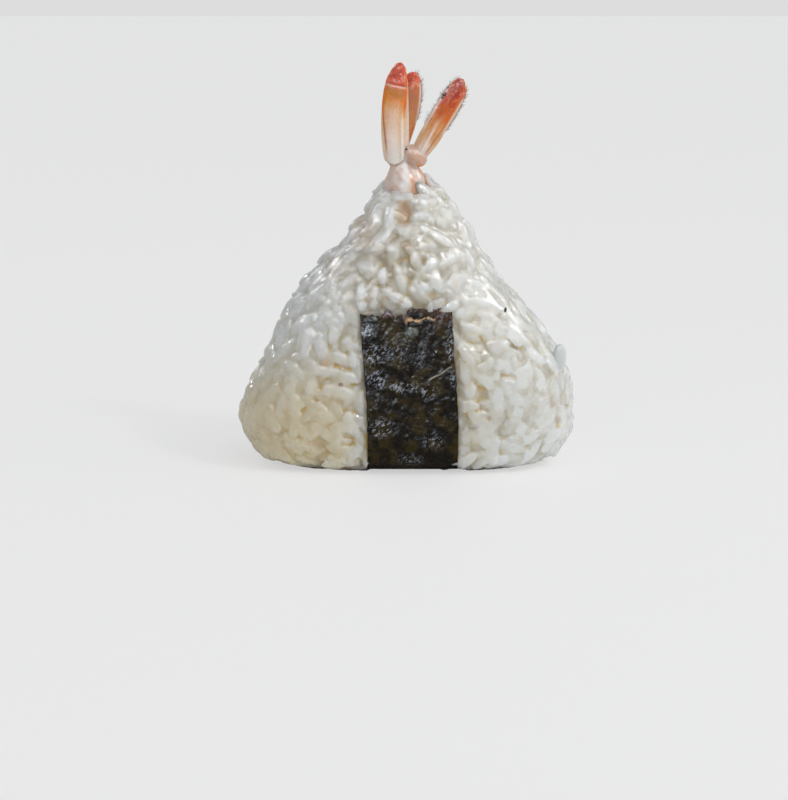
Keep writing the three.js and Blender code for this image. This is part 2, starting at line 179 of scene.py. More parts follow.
def make_object(name: str, points: Array, faces: Faces | Array) -> Thing:
    """A smooth-shaded mesh object.

    Args:
        name: the object's name.
        points: its vertices in millimetres.
        faces: vertex numbers of each face.

    Returns:
        The object, linked to the scene.
    """
    mesh = bpy.data.meshes.new(name)
    rows = faces.tolist() if isinstance(faces, np.ndarray) else faces
    mesh.from_pydata((points * MM).tolist(), [], rows)
    mesh.shade_smooth()
    return in_scene(name, mesh)


def points_of(thing: Thing) -> Array:
    """The vertices of an object's mesh, in millimetres."""
    flat = np.empty(len(thing.data.vertices) * 3, np.float32)
    thing.data.vertices.foreach_get("co", flat)
    return flat.reshape(-1, 3).astype(float) / MM


def normals_of(thing: Thing) -> Array:
    """The vertex normals of an object's mesh."""
    flat = np.empty(len(thing.data.vertices) * 3, np.float32)
    thing.data.vertex_normals.foreach_get("vector", flat)
    return flat.reshape(-1, 3).astype(float)


def edges_of(thing: Thing) -> Array:
    """The vertex numbers of each edge of an object's mesh."""
    flat = np.empty(len(thing.data.edges) * 2, np.int32)
    thing.data.edges.foreach_get("vertices", flat)
    return flat.reshape(-1, 2)


def move_points(thing: Thing, points: Array) -> None:
    """Moves the vertices of an object's mesh to places in millimetres."""
    thing.data.vertices.foreach_set("co", (points * MM).astype(np.float32).ravel())
    thing.data.update()


def set_values(thing: Thing, key: str, numbers: Array) -> None:
    """Puts one number on each vertex for the shader."""
    layer = thing.data.attributes.new(key, "FLOAT", "POINT")
    layer.data.foreach_set("value", np.asarray(numbers, np.float32))


def triangle_count(thing: Thing) -> int:
    """How many triangles an object's mesh has once its faces are split."""
    return sum(len(face.vertices) - 2 for face in thing.data.polygons)


def apply_modifier(thing: Thing, kind: str, **settings: object) -> None:
    """Adds a modifier and bakes it into the object's mesh."""
    modifier = thing.modifiers.new("shape", kind)
    for key, value in settings.items():
        setattr(modifier, key, value)
    shaped = bpy.data.meshes.new_from_object(thing.evaluated_get(bpy.context.evaluated_depsgraph_get()))
    thing.modifiers.clear()
    old, thing.data = thing.data, shaped
    bpy.data.meshes.remove(old)
    thing.data.shade_smooth()


def drop_flaps(thing: Thing) -> None:
    """Deletes the faces that hang on a closed mesh by a single edge."""
    shape = bmesh.new()
    shape.from_mesh(thing.data)
    flaps = {face for edge in shape.edges if edge.is_boundary for face in edge.link_faces}
    bmesh.ops.delete(shape, geom=list(flaps), context="FACES")
    shape.to_mesh(thing.data)
    shape.free()


def keep_largest_part(thing: Thing) -> None:
    """Deletes all of a mesh but its largest connected part, such as closed voids inside it."""
    edges = edges_of(thing)
    label = np.arange(len(thing.data.vertices))
    settled = False
    while not settled:
        low = np.minimum(label[edges[:, 0]], label[edges[:, 1]])
        lower = label.copy()
        np.minimum.at(lower, edges[:, 0], low)
        np.minimum.at(lower, edges[:, 1], low)
        lower = lower[lower]
        settled = bool((lower == label).all())
        label = lower
    spare = label != np.bincount(label).argmax()
    shape = bmesh.new()
    shape.from_mesh(thing.data)
    bmesh.ops.delete(shape, geom=[v for v, gone in zip(shape.verts, spare) if gone], context="VERTS")
    shape.to_mesh(thing.data)
    shape.free()


def relaxed(points: Array, edges: Array, rounds: int, share: float) -> Array:
    """The points after some rounds of moving each towards the mean of its neighbours.

    Args:
        points: one place a row.
        edges: pairs of neighbours.
        rounds: how many times.
        share: how far each goes, from 0 to 1.

    Returns:
        The new places.
    """
    count = len(points)
    degree = np.maximum(np.bincount(edges.ravel(), minlength=count), 1)[:, None]
    for _ in range(rounds):
        total = np.zeros_like(points)
        for here, there in ((edges[:, 0], edges[:, 1]), (edges[:, 1], edges[:, 0])):
            for axis in range(3):
                total[:, axis] += np.bincount(here, weights=points[there, axis], minlength=count)
        points = points + share * (total / degree - points)
    return points


def grid_faces(rows: int, columns: int, closed: bool = False) -> Array:
    """Four-sided faces over a grid of points, row by row; closed joins the last column to the first."""
    across = columns if closed else columns - 1
    j, i = np.meshgrid(np.arange(rows - 1), np.arange(across), indexing="ij")
    here, there = j * columns + i, j * columns + (i + 1) % columns
    return np.stack([here, there, there + columns, here + columns], axis=-1).reshape(-1, 4)


def capped_rings(rings: Array) -> tuple[Array, Faces]:
    """The points and faces of a closed skin over rings of points, flat at both ends.

    Args:
        rings: places with the axes ring, point round it, and x, y, z.

    Returns:
        One place a row, and the vertex numbers of each face.
    """
    rows, columns = rings.shape[:2]
    faces = grid_faces(rows, columns, closed=True).tolist()
    faces.append(list(range(columns))[::-1])
    faces.append(list(range((rows - 1) * columns, rows * columns)))
    return rings.reshape(-1, 3), faces


def ball(rows: int, columns: int) -> tuple[Array, Faces]:
    """A unit ball's points and faces.

    Args:
        rows: rings from pole to pole.
        columns: points on each ring.

    Returns:
        One place a row, and the vertex numbers of each face.
    """
    v = np.pi * (np.arange(rows) + 0.5) / rows
    u = circle(columns)
    x, y = np.sin(v)[:, None] * np.cos(u), np.sin(v)[:, None] * np.sin(u)
    return capped_rings(xyz(x, y, -np.cos(v)[:, None]))


def as_one(*meshes: tuple[Array, Faces]) -> tuple[Array, Faces]:
    """Several meshes as one.

    Args:
        meshes: the points and faces of each.

    Returns:
        The points and faces of all.
    """
    faces, start = [], 0
    for points, own_faces in meshes:
        faces += [[v + start for v in face] for face in own_faces]
        start += len(points)
    return np.vstack([points for points, _ in meshes]), faces


def search_tree(points: Array) -> KDTree:
    """A tree that finds the points near a place."""
    tree = KDTree(len(points))
    for i, point in enumerate(points):
        tree.insert(point, i)
    tree.balance()
    return tree


# ---- shader nodes


class Step(Enum):
    """The steps of arithmetic that the finishes use."""

    ADD = "ADD"
    SUBTRACT = "SUBTRACT"
    MULTIPLY = "MULTIPLY"
    DIVIDE = "DIVIDE"


class Nodes:
    """Places and links nodes in one material or node group."""

    def __init__(self, tree: bpy.types.NodeTree) -> None:
        """Starts on an empty tree."""
        self.tree = tree
        tree.nodes.clear()

    def add(self, kind: str, **settings: object) -> Node:
        """Places a node and sets its properties."""
        node = self.tree.nodes.new(kind)
        for key, value in settings.items():
            setattr(node, key, value)
        return node

    def link(self, source: object, target: Socket) -> None:
        """Links an output to an input, or sets the input to a plain value."""
        if isinstance(source, Socket):
            self.tree.links.new(source, target)
        else:
            target.default_value = source

    def attribute(self, name: str) -> Socket:
        """The number that the mesh carries under that name."""
        return self.add("ShaderNodeAttribute", attribute_name=name).outputs["Fac"]

    def place(self) -> Socket:
        """The place on the object, in metres."""
        return self.add("ShaderNodeTexCoord").outputs["Object"]

    def waves(self, place: object, size_mm: float, detail: float = 3.0, rough: float = 0.55) -> Socket:
        """Noise from 0 to 1.

        Args:
            place: where it is read.
            size_mm: about how long its largest waves are.
            detail: how many finer layers it has.
            rough: how strong each finer layer is.

        Returns:
            The noise.
        """
        node = self.add("ShaderNodeTexNoise")
        self.link(place, node.inputs["Vector"])
        node.inputs["Scale"].default_value = 1.0 / (size_mm * MM)
        node.inputs["Detail"].default_value = detail
        node.inputs["Roughness"].default_value = rough
        return node.outputs["Fac"]

    def cells(self, place: object, size_mm: float) -> Socket:
        """Distance to the nearest of scattered points about that far apart."""
        node = self.add("ShaderNodeTexVoronoi")
        self.link(place, node.inputs["Vector"])
        node.inputs["Scale"].default_value = 1.0 / (size_mm * MM)
        return node.outputs["Distance"]

    def reach(self, value: object, low: float, high: float, first: float = 0.0, last: float = 1.0) -> Socket:
        """Takes one stretch of numbers smoothly to another.

        Args:
            value: the number to take over.
            low: where its stretch starts.
            high: where its stretch ends.
            first: what low becomes.
            last: what high becomes.

        Returns:
            The number in the new stretch.
        """
        node = self.add("ShaderNodeMapRange", interpolation_type="SMOOTHSTEP")
        self.link(value, node.inputs["Value"])
        for key, number in (("From Min", low), ("From Max", high), ("To Min", first), ("To Max", last)):
            node.inputs[key].default_value = number
        return node.outputs["Result"]

    def sum(self, step: Step, first: object, second: object, held: bool = True) -> Socket:
        """One step of arithmetic.

        Args:
            step: which one.
            first: the number that it starts from.
            second: the number that it works with.
            held: whether the result is held between 0 and 1.

        Returns:
            The result.
        """
        node = self.add("ShaderNodeMath", operation=step.value, use_clamp=held)
        self.link(first, node.inputs[0])
        self.link(second, node.inputs[1])
        return node.outputs["Value"]

    def blend(self, share: object, first: object, second: object) -> Socket:
        """A mix of two colours.

        Args:
            share: how much there is of the second.
            first: the one at 0.
            second: the one at 1.

        Returns:
            The colour.
        """
        node = self.add("ShaderNodeMix", data_type="RGBA")
        self.link(share, node.inputs["Factor"])
        for socket, colour in zip([s for s in node.inputs if s.type == "RGBA"], (first, second)):
            self.link((*colour, 1.0) if isinstance(colour, tuple) else colour, socket)
        return next(s for s in node.outputs if s.type == "RGBA")

    def bump(self, height: object, depth_mm: float) -> Socket:
        """The normal over a relief.

        Args:
            height: the relief, from 0 to 1.
            depth_mm: how deep it is.

        Returns:
            The normal.
        """
        node = self.add("ShaderNodeBump")
        node.inputs["Distance"].default_value = depth_mm * MM
        self.link(height, node.inputs["Height"])
        return node.outputs["Normal"]

    def ramp(self, value: object, stops: Sequence[tuple[float, Colour]]) -> Socket:
        """A colour read from a row of stops."""
        node = self.add("ShaderNodeValToRGB")
        self.link(value, node.inputs["Fac"])
        elements = node.color_ramp.elements
        while len(elements) < len(stops):
            elements.new(1.0)
        for element, (place, colour) in zip(elements, stops):
            element.position = place
            element.color = (*colour, 1.0)
        return node.outputs["Color"]


class MoistSkin:
    """The group that wet food shares: a fine uneven film that bends light and changes the gloss."""

    NAME = "moist_skin"

    @classmethod
    def tree(cls) -> bpy.types.NodeTree:
        """The group, built at its first use."""
        made = bpy.data.node_groups.get(cls.NAME)
        if made:
            return made
        tree = bpy.data.node_groups.new(cls.NAME, "ShaderNodeTree")
        nodes = Nodes(tree)
        for name, start in (("Ripple mm", 0.6), ("Depth mm", 0.02), ("Smooth", 0.15), ("Rough", 0.4)):
            socket = tree.interface.new_socket(name, in_out="INPUT", socket_type="NodeSocketFloat")
            socket.default_value = start
        tree.interface.new_socket("Roughness", in_out="OUTPUT", socket_type="NodeSocketFloat")
        tree.interface.new_socket("Normal", in_out="OUTPUT", socket_type="NodeSocketVector")
        given, out = nodes.add("NodeGroupInput"), nodes.add("NodeGroupOutput")

        wave = nodes.add("ShaderNodeTexNoise")
        nodes.link(nodes.place(), wave.inputs["Vector"])
        scale = nodes.sum(Step.DIVIDE, 1.0 / MM, given.outputs["Ripple mm"], held=False)
        nodes.link(scale, wave.inputs["Scale"])
        wave.inputs["Detail"].default_value = 3.0

        cluster = nodes.reach(nodes.waves(nodes.place(), 1.9, 2.0), 0.42, 0.6, 0.3 * MM, MM)
        height = nodes.sum(Step.MULTIPLY, given.outputs["Depth mm"], cluster, held=False)
        bump = nodes.add("ShaderNodeBump")
        nodes.link(height, bump.inputs["Distance"])
        nodes.link(wave.outputs["Fac"], bump.inputs["Height"])
        nodes.link(bump.outputs["Normal"], out.inputs["Normal"])

        patch = nodes.reach(nodes.waves(nodes.place(), 2.5, 2.0), 0.35, 0.65)
        gloss = nodes.add("ShaderNodeMix", data_type="FLOAT")
        nodes.link(patch, gloss.inputs["Factor"])
        nodes.link(given.outputs["Smooth"], gloss.inputs["A"])
        nodes.link(given.outputs["Rough"], gloss.inputs["B"])
        nodes.link(gloss.outputs["Result"], out.inputs["Roughness"])
        return tree

    @classmethod
    def cover(
        cls, nodes: Nodes, shader: Node, ripple_mm: float, depth_mm: float, smooth: float, rough: float
    ) -> Node:
        """Puts the film on a shader.

        Args:
            nodes: the material's nodes.
            shader: the shader that it covers.
            ripple_mm: how long its ripples are.
            depth_mm: how deep they are.
            smooth: its least roughness.
            rough: its most roughness.

        Returns:
            The group's node.
        """
        film = nodes.add("ShaderNodeGroup", node_tree=cls.tree())
        values = (("Ripple mm", ripple_mm), ("Depth mm", depth_mm), ("Smooth", smooth), ("Rough", rough))
        for key, value in values:
            film.inputs[key].default_value = value
        for key in ("Roughness", "Normal"):
            nodes.link(film.outputs[key], shader.inputs[key])
        return film


@dataclass(frozen=True)
class Finish:
    """What every finish has: a name, the constants of its shader and a way to paint its varying parts."""

    name: str
    constants: dict[str, object] = field(default_factory=dict)

    def paint(self, nodes: Nodes, shader: Node) -> None:
        """Links what changes over the surface; each finish has its own."""

    def surface(self, nodes: Nodes, shader: Node) -> Socket:
        """What the material shows, which is the shader itself unless a finish has its own."""
        return shader.outputs["BSDF"]

    def material(self) -> bpy.types.Material:
        """The material, built at its first use."""
        made = bpy.data.materials.get(self.name)
        if made:
            return made
        made = bpy.data.materials.new(self.name)
        made.use_nodes = True
        nodes = Nodes(made.node_tree)
        shader = nodes.add("ShaderNodeBsdfPrincipled")
        for key, value in self.constants.items():
            shader.inputs[key].default_value = value
        out = nodes.add("ShaderNodeOutputMaterial")
        nodes.link(self.surface(nodes, shader), out.inputs["Surface"])
        self.paint(nodes, shader)
        return made

    def dress(self, thing: Thing) -> None:
        """Gives the object this material alone."""
        thing.data.materials.clear()
        thing.data.materials.append(self.material())


def under_skin(weight: float, depth_mm: float, radius: Colour) -> dict[str, object]:
    """The shader's constants for light that goes into food and comes out again."""
    return {"Subsurface Weight": weight, "Subsurface Radius": radius, "Subsurface Scale": depth_mm * MM}


@dataclass(frozen=True)
class RiceFinish(Finish):
    """Cooked rice: milky, see-through at its edges, with painted shade between the grains, tinted
    yellow-tan, and a wet gloss.
    """

    name: str = "cooked_rice"
    constants: dict[str, object] = field(
        default_factory=lambda: {
            **under_skin(1.0, 9.0, (1.0, 0.9, 0.75)),
            "IOR": 1.45,
            "Specular IOR Level": 0.35,
            "Coat IOR": 1.6,
            "Coat Roughness": 0.06,
        }
    )
    milky: Colour = (0.825, 0.842, 0.825)
    clear: Colour = (0.55, 0.50, 0.395)
    # The tint of the painted shade and painted bounce light in the crevices.
    shade_and_bounce_tint: Colour = (0.73, 0.57, 0.25)
    bare: Colour = (0.74, 0.55, 0.38)
    ripple_mm: float = 0.9
    depth_mm: float = 0.12
    drop_mm: float = 0.6
    drop_depth_mm: float = 0.2
    smooth: float = 0.22
    rough: float = 0.38
    driest: float = 0.05
    wettest: float = 0.95
    chalk: float = 0.12
    wide_chalk: float = 0.15

    def paint(self, nodes: Nodes, shader: Node) -> None:
        """Milky cores, see-through ends, painted shade and bounce light in the gaps, painted light on the
        crests, tan patches and an uneven film.
        """
        place = nodes.place()
        chalk = nodes.reach(nodes.waves(place, 1.6, 2.0), 0.38, 0.66)
        wide = nodes.reach(nodes.waves(place, 13.0, 1.0), 0.35, 0.65)
        chalk = nodes.sum(Step.MULTIPLY, chalk, self.chalk)
        wide = nodes.sum(Step.MULTIPLY, wide, self.wide_chalk)
        milk_and_light = nodes.sum(Step.ADD, nodes.sum(Step.ADD, chalk, wide), nodes.attribute("milk_and_light"))
        body = nodes.blend(milk_and_light, self.clear, self.milky)
        # Painted shade, tinted yellow-tan, in the crevices, with painted bounce light low on the left.
        colour = nodes.blend(nodes.attribute("gap"), body, self.shade_and_bounce_tint)
        nodes.link(nodes.blend(nodes.attribute("bare"), colour, self.bare), shader.inputs["Base Color"])
        MoistSkin.cover(nodes, shader, self.ripple_mm, self.depth_mm, self.smooth, self.rough)
        wet = nodes.reach(nodes.waves(place, 2.4, 2.0), 0.43, 0.56, self.driest, self.wettest)
        nodes.link(wet, shader.inputs["Coat Weight"])
        drops = nodes.bump(nodes.waves(place, self.drop_mm, 1.0), self.drop_depth_mm)
        nodes.link(drops, shader.inputs["Coat Normal"])


@dataclass(frozen=True)
class NoriFinish(Finish):
    """Roasted seaweed: black with olive and brown patches, painted glints and glossier spots in places,
    red-brown where torn.
    """

    name: str = "roasted_nori"
    constants: dict[str, object] = field(default_factory=lambda: {"IOR": 1.33, "Specular IOR Level": 0.25})
    black: Colour = (0.007, 0.005, 0.002)
    olive: Colour = (0.046, 0.031, 0.005)
    brown: Colour = (0.038, 0.018, 0.008)
    # The bluish-white of the painted glints.
    painted_glint: Colour = (0.46, 0.51, 0.60)
    tuft: Colour = (0.30, 0.21, 0.26)
    flake: Colour = (0.11, 0.125, 0.10)
    torn: Colour = (0.11, 0.055, 0.045)
    frayed: Colour = (0.74, 0.47, 0.25)
    straw: Colour = (0.50, 0.46, 0.36)
    # The streaks of the painted glints: their size, lean and stretch.
    streak_mm: float = 0.55
    streak_lean: float = 0.7
    streak_stretch: float = 2.2
    pebble_mm: float = 0.75
    pebble_depth_mm: float = 0.22

    def paint(self, nodes: Nodes, shader: Node) -> None:
        """Patches, painted glint streaks and the torn end's colours, over a fine pebbled relief."""
        place = nodes.place()
        patch = nodes.reach(nodes.waves(place, 4.0, 4.0), 0.46, 0.6)
        fleck = nodes.reach(nodes.waves(place, 0.9, 3.0), 0.52, 0.7)
        base = nodes.blend(nodes.sum(Step.MULTIPLY, patch, 0.8), self.black, self.olive)
        base = nodes.blend(nodes.sum(Step.MULTIPLY, fleck, 0.6), base, self.brown)
        lean = nodes.add("ShaderNodeMapping", vector_type="TEXTURE")
        nodes.link(place, lean.inputs["Vector"])
        lean.inputs["Rotation"].default_value = (0.0, self.streak_lean, 0.0)
        lean.inputs["Scale"].default_value = (1.0, 1.0, self.streak_stretch)
        streaks = nodes.reach(nodes.waves(lean.outputs["Vector"], self.streak_mm, 4.0, 0.7), 0.515, 0.585)
        # Bluish-white streaks in the listed patches: painted glints; the same mark also lowers the
        # roughness.
        glint_mask = nodes.attribute("glint_share")
        base = nodes.blend(nodes.sum(Step.MULTIPLY, streaks, glint_mask), base, self.painted_glint)
        base = nodes.blend(nodes.attribute("flake"), base, self.flake)
        ragged = nodes.reach(nodes.waves(place, 0.6), 0.35, 0.6)
        base = nodes.blend(nodes.sum(Step.MULTIPLY, nodes.attribute("torn"), ragged), base, self.torn)
        base = nodes.blend(nodes.attribute("tuft"), base, self.tuft)
        base = nodes.blend(nodes.attribute("frayed"), base, self.frayed)
        nodes.link(nodes.blend(nodes.attribute("straw"), base, self.straw), shader.inputs["Base Color"])
        dull = nodes.sum(Step.SUBTRACT, nodes.waves(place, 1.3, 4.0), nodes.sum(Step.MULTIPLY, glint_mask, 0.2))
        nodes.link(nodes.reach(dull, 0.25, 0.55, 0.12, 0.45), shader.inputs["Roughness"])
        pebbles = nodes.sum(Step.MULTIPLY, nodes.cells(place, self.pebble_mm), 0.6)
        creases = nodes.sum(Step.MULTIPLY, nodes.waves(place, 1.2, 4.0, 0.65), 0.9)
        relief = nodes.bump(nodes.sum(Step.ADD, pebbles, creases), self.pebble_depth_mm)
        nodes.link(relief, shader.inputs["Normal"])


@dataclass(frozen=True)
class FleshFinish(Finish):
    """Cooked prawn flesh under thin clear shell: pale, pink in patches, orange along its edges."""

    name: str = "cooked_prawn"
    constants: dict[str, object] = field(
        default_factory=lambda: {
            **under_skin(0.8, 2.2, (1.0, 0.75, 0.6)),
            "IOR": 1.4,
            "Coat Weight": 0.15,
            "Coat Roughness": 0.15,
        }
    )
    pale: Colour = (0.75, 0.65, 0.58)
    pink: Colour = (0.78, 0.57, 0.48)
    tan: Colour = (0.68, 0.46, 0.35)
    band: Colour = (0.84, 0.42, 0.22)
    white: Colour = (0.90, 0.86, 0.85)
    rim: Colour = (0.84, 0.30, 0.05)

    def paint(self, nodes: Nodes, shader: Node) -> None:
        """Patches of pink, then the tan knuckles, white ridge, orange band and rim that the mesh marks."""
        place = nodes.place()
        base = nodes.blend(nodes.reach(nodes.waves(place, 2.6, 2.0), 0.42, 0.66), self.pale, self.pink)
        base = nodes.blend(nodes.attribute("knuckle"), base, self.tan)
        base = nodes.blend(nodes.attribute("white"), base, self.white)
        base = nodes.blend(nodes.attribute("band"), base, self.band)
        nodes.link(nodes.blend(nodes.attribute("rim"), base, self.rim), shader.inputs["Base Color"])
        MoistSkin.cover(nodes, shader, ripple_mm=0.7, depth_mm=0.12, smooth=0.2, rough=0.42)


@dataclass(frozen=True)
class ShellFinish(Finish):
    """Cooked tail shell: a run of colours from root to tip, streaked lengthways and mottled at the tip."""

    name: str = "tail_shell"
    constants: dict[str, object] = field(
        default_factory=lambda: {
            **under_skin(0.5, 1.2, (1.0, 0.5, 0.3)),
            "IOR": 1.42,
            "Coat Weight": 0.12,
            "Coat Roughness": 0.12,
        }
    )
    stops: tuple[tuple[float, Colour], ...] = ((0.0, (0.6, 0.45, 0.35)), (1.0, (0.6, 0.1, 0.04)))
    edge: Colour = (0.78, 0.15, 0.015)
    spots: Colour = (0.88, 0.50, 0.38)
    pale: Colour = (0.96, 0.89, 0.84)
    streak: Colour = (0.62, 0.24, 0.06)
    deep: Colour = (0.42, 0.02, 0.015)
    vein: Colour = (0.40, 0.10, 0.03)
    drift: float = 0.3
    fibres: float = 7.0

    def paint(self, nodes: Nodes, shader: Node) -> None:
        """The run of colours along a blade, its streaks, dark edge, pale middle, painted highlight on its
        ridge and mottled tip.
        """
        place = nodes.place()
        along, across = nodes.attribute("along"), nodes.attribute("across")
        drift = nodes.sum(Step.SUBTRACT, nodes.waves(place, 2.4), 0.5, held=False)
        shift = nodes.sum(Step.ADD, nodes.sum(Step.MULTIPLY, drift, self.drift, held=False), along)
        base = nodes.ramp(shift, self.stops)
        fibre = nodes.add("ShaderNodeCombineXYZ")
        nodes.link(across, fibre.inputs["X"])
        nodes.link(nodes.sum(Step.MULTIPLY, along, 0.45), fibre.inputs["Y"])
        lines = nodes.add("ShaderNodeTexNoise")
        nodes.link(fibre.outputs["Vector"], lines.inputs["Vector"])
        lines.inputs["Scale"].default_value = self.fibres
        lines.inputs["Detail"].default_value = 3.0
        dark = nodes.reach(lines.outputs["Fac"], 0.52, 0.72, 0.0, 0.3)
        light = nodes.reach(lines.outputs["Fac"], 0.48, 0.3, 0.0, 0.4)
        base = nodes.blend(dark, base, self.streak)
        lower = nodes.reach(along, 0.72, 0.45)
        base = nodes.blend(nodes.sum(Step.MULTIPLY, light, lower), base, self.pale)
        blotch = nodes.reach(nodes.waves(place, 1.7, 4.0, 0.6), 0.5, 0.64, 0.0, 0.55)
        base = nodes.blend(nodes.sum(Step.MULTIPLY, blotch, nodes.reach(along, 0.2, 0.6)), base, self.streak)
        mottle = nodes.reach(nodes.waves(place, 1.1, 3.0, 0.65), 0.50, 0.60)
        at_tip = nodes.reach(along, 0.74, 0.82, 0.0, 0.65)
        base = nodes.blend(nodes.sum(Step.MULTIPLY, mottle, at_tip), base, self.spots)
        edging = nodes.reach(nodes.waves(place, 0.9, 3.0, 0.6), 0.5, 0.58)
        base = nodes.blend(nodes.sum(Step.MULTIPLY, edging, at_tip), base, self.deep)
        # The white mark holds the pale middle, fringes and suture, and the painted highlight along the
        # ridge.
        base = nodes.blend(nodes.attribute("white"), base, self.pale)
        edge = nodes.blend(nodes.reach(along, 0.35, 0.6), self.vein, self.edge)
        nodes.link(nodes.blend(nodes.attribute("edge"), base, edge), shader.inputs["Base Color"])
        film = MoistSkin.cover(nodes, shader, ripple_mm=0.6, depth_mm=0.09, smooth=0.12, rough=0.32)
        rough = nodes.sum(Step.ADD, film.outputs["Roughness"], nodes.reach(along, 0.6, 0.85, 0.0, 0.35))
        nodes.link(rough, shader.inputs["Roughness"])


@dataclass(frozen=True)
class SpeckFinish(Finish):
    """A small thing of nearly one colour, with a faint drift."""

    colour: Colour = (0.3, 0.3, 0.3)
    other: Colour = (0.2, 0.2, 0.2)

    def paint(self, nodes: Nodes, shader: Node) -> None:
        """Two near colours in waves."""
        share = nodes.reach(nodes.waves(nodes.place(), 0.5), 0.35, 0.65)
        nodes.link(nodes.blend(share, self.colour, self.other), shader.inputs["Base Color"])


@dataclass(frozen=True)
class FloorFinish(SpeckFinish):
    """A pale matt floor that the camera sees a little paler than it lights the food."""

    name: str = "pale_floor"
    constants: dict[str, object] = field(
        default_factory=lambda: {"Roughness": 0.6, "Specular IOR Level": 0.2}
    )
    colour: Colour = (0.92, 0.92, 0.92)
    other: Colour = (0.90, 0.90, 0.90)
    glow: float = 0.55

    def surface(self, nodes: Nodes, shader: Node) -> Socket:
        """The shader, with a glow mixed in where the camera sees it."""
        mix = nodes.add("ShaderNodeMixShader")
        seen = nodes.add("ShaderNodeLightPath").outputs["Is Camera Ray"]
        nodes.link(nodes.sum(Step.MULTIPLY, seen, self.glow), mix.inputs["Fac"])
        nodes.link(shader.outputs["BSDF"], mix.inputs[1])
        nodes.link(nodes.add("ShaderNodeEmission").outputs["Emission"], mix.inputs[2])
        return mix.outputs["Shader"]


# ---- the rice


@dataclass(frozen=True)
class RiceForm:
    """The smooth form of the pressed rice, under the grains that lie on it."""

    heights: Row = (0.8, 2.6, 7.2, 14.5, 24.0, 34.5, 45.0, 54.5, 61.5, 66.0)
    middles: Row = (0.2, 0.1, -0.1, -0.1, 1.3, 0.3, -0.9, 0.4, 0.8, 0.4)
    half_widths: Row = (27.6, 33.4, 37.9, 39.0, 35.8, 29.8, 22.0, 14.5, 9.9, 6.7)
    half_depths: Row = (12.0, 15.4, 17.7, 18.5, 18.2, 17.2, 15.0, 12.2, 9.0, 6.6)
    square_below: float = 3.1
    square_above: float = 2.1
    square_from: float = 25.0

    @property
    def bottom(self) -> float:
        """Height of the foot, which the lowest grains stand under."""
        return self.heights[0]

    @property
    def top(self) -> float:
        """Height of the peak."""
        return self.heights[-1]

    def level(self, z: Array) -> tuple[Array, Array, Array, Array]:
        """The middle, half width, half depth and squareness of the level section at each height."""
        rows = (self.middles, self.half_widths, self.half_depths)
        middle, width, depth = (curve_through(self.heights, row)(z) for row in rows)
        up = ease(z, self.square_from, self.top)
        square = self.square_below + (self.square_above - self.square_below) * up
        return middle, width, depth, square

    def depth_at(self, x: Array, z: Array) -> Array:
        """How far the broad face stands from the middle plane."""
        middle, width, depth, n = self.level(z)
        share = np.minimum(np.abs(x - middle) / width, 1.0)
        return depth * (1.0 - share**n) ** (1.0 / n)

    def outward(self, points: Array) -> Array:
        """How far each point stands out of the form, less than 0 inside."""
        x, y, z = points.T
        middle, width, depth, n = self.level(z)
        across = np.abs(x - middle)
        ratio = ((across / width) ** n + (np.abs(y) / depth) ** n) ** (1.0 / n)
        radius = np.hypot(across, y)
        step = 0.5
        _, width_up, depth_up, _ = self.level(z + step)
        slope = (width_up - width) * across + (depth_up - depth) * np.abs(y)
        slope = slope / np.maximum(radius, 1e-6) / step
        side = radius * (1.0 - 1.0 / np.maximum(ratio, 1e-3)) / np.sqrt(1.0 + slope**2)
        return np.maximum(side, np.maximum(self.bottom - z, z - self.top))

    def normal(self, points: Array) -> Array:
        """The way out of the form at each point."""
        step = 0.3
        rise = [self.outward(points + step * way) - self.outward(points - step * way) for way in np.eye(3)]
        return unit(np.stack(rise, axis=1))

    def skin(self, rings: int, sides: int) -> tuple[Array, Faces]:
        """The points and faces of the form as a closed mesh."""
        share = np.linspace(0.0, 1.0, rings) ** 1.3
        z = self.bottom + (self.top - self.bottom) * share
        a = circle(sides)
        middle, width, depth, n = (row[:, None] for row in self.level(z))
        x = middle + width * np.sign(np.cos(a)) * np.abs(np.cos(a)) ** (2.0 / n)
        y = depth * np.sign(np.sin(a)) * np.abs(np.sin(a)) ** (2.0 / n)
        return capped_rings(xyz(x, y, z[:, None]))


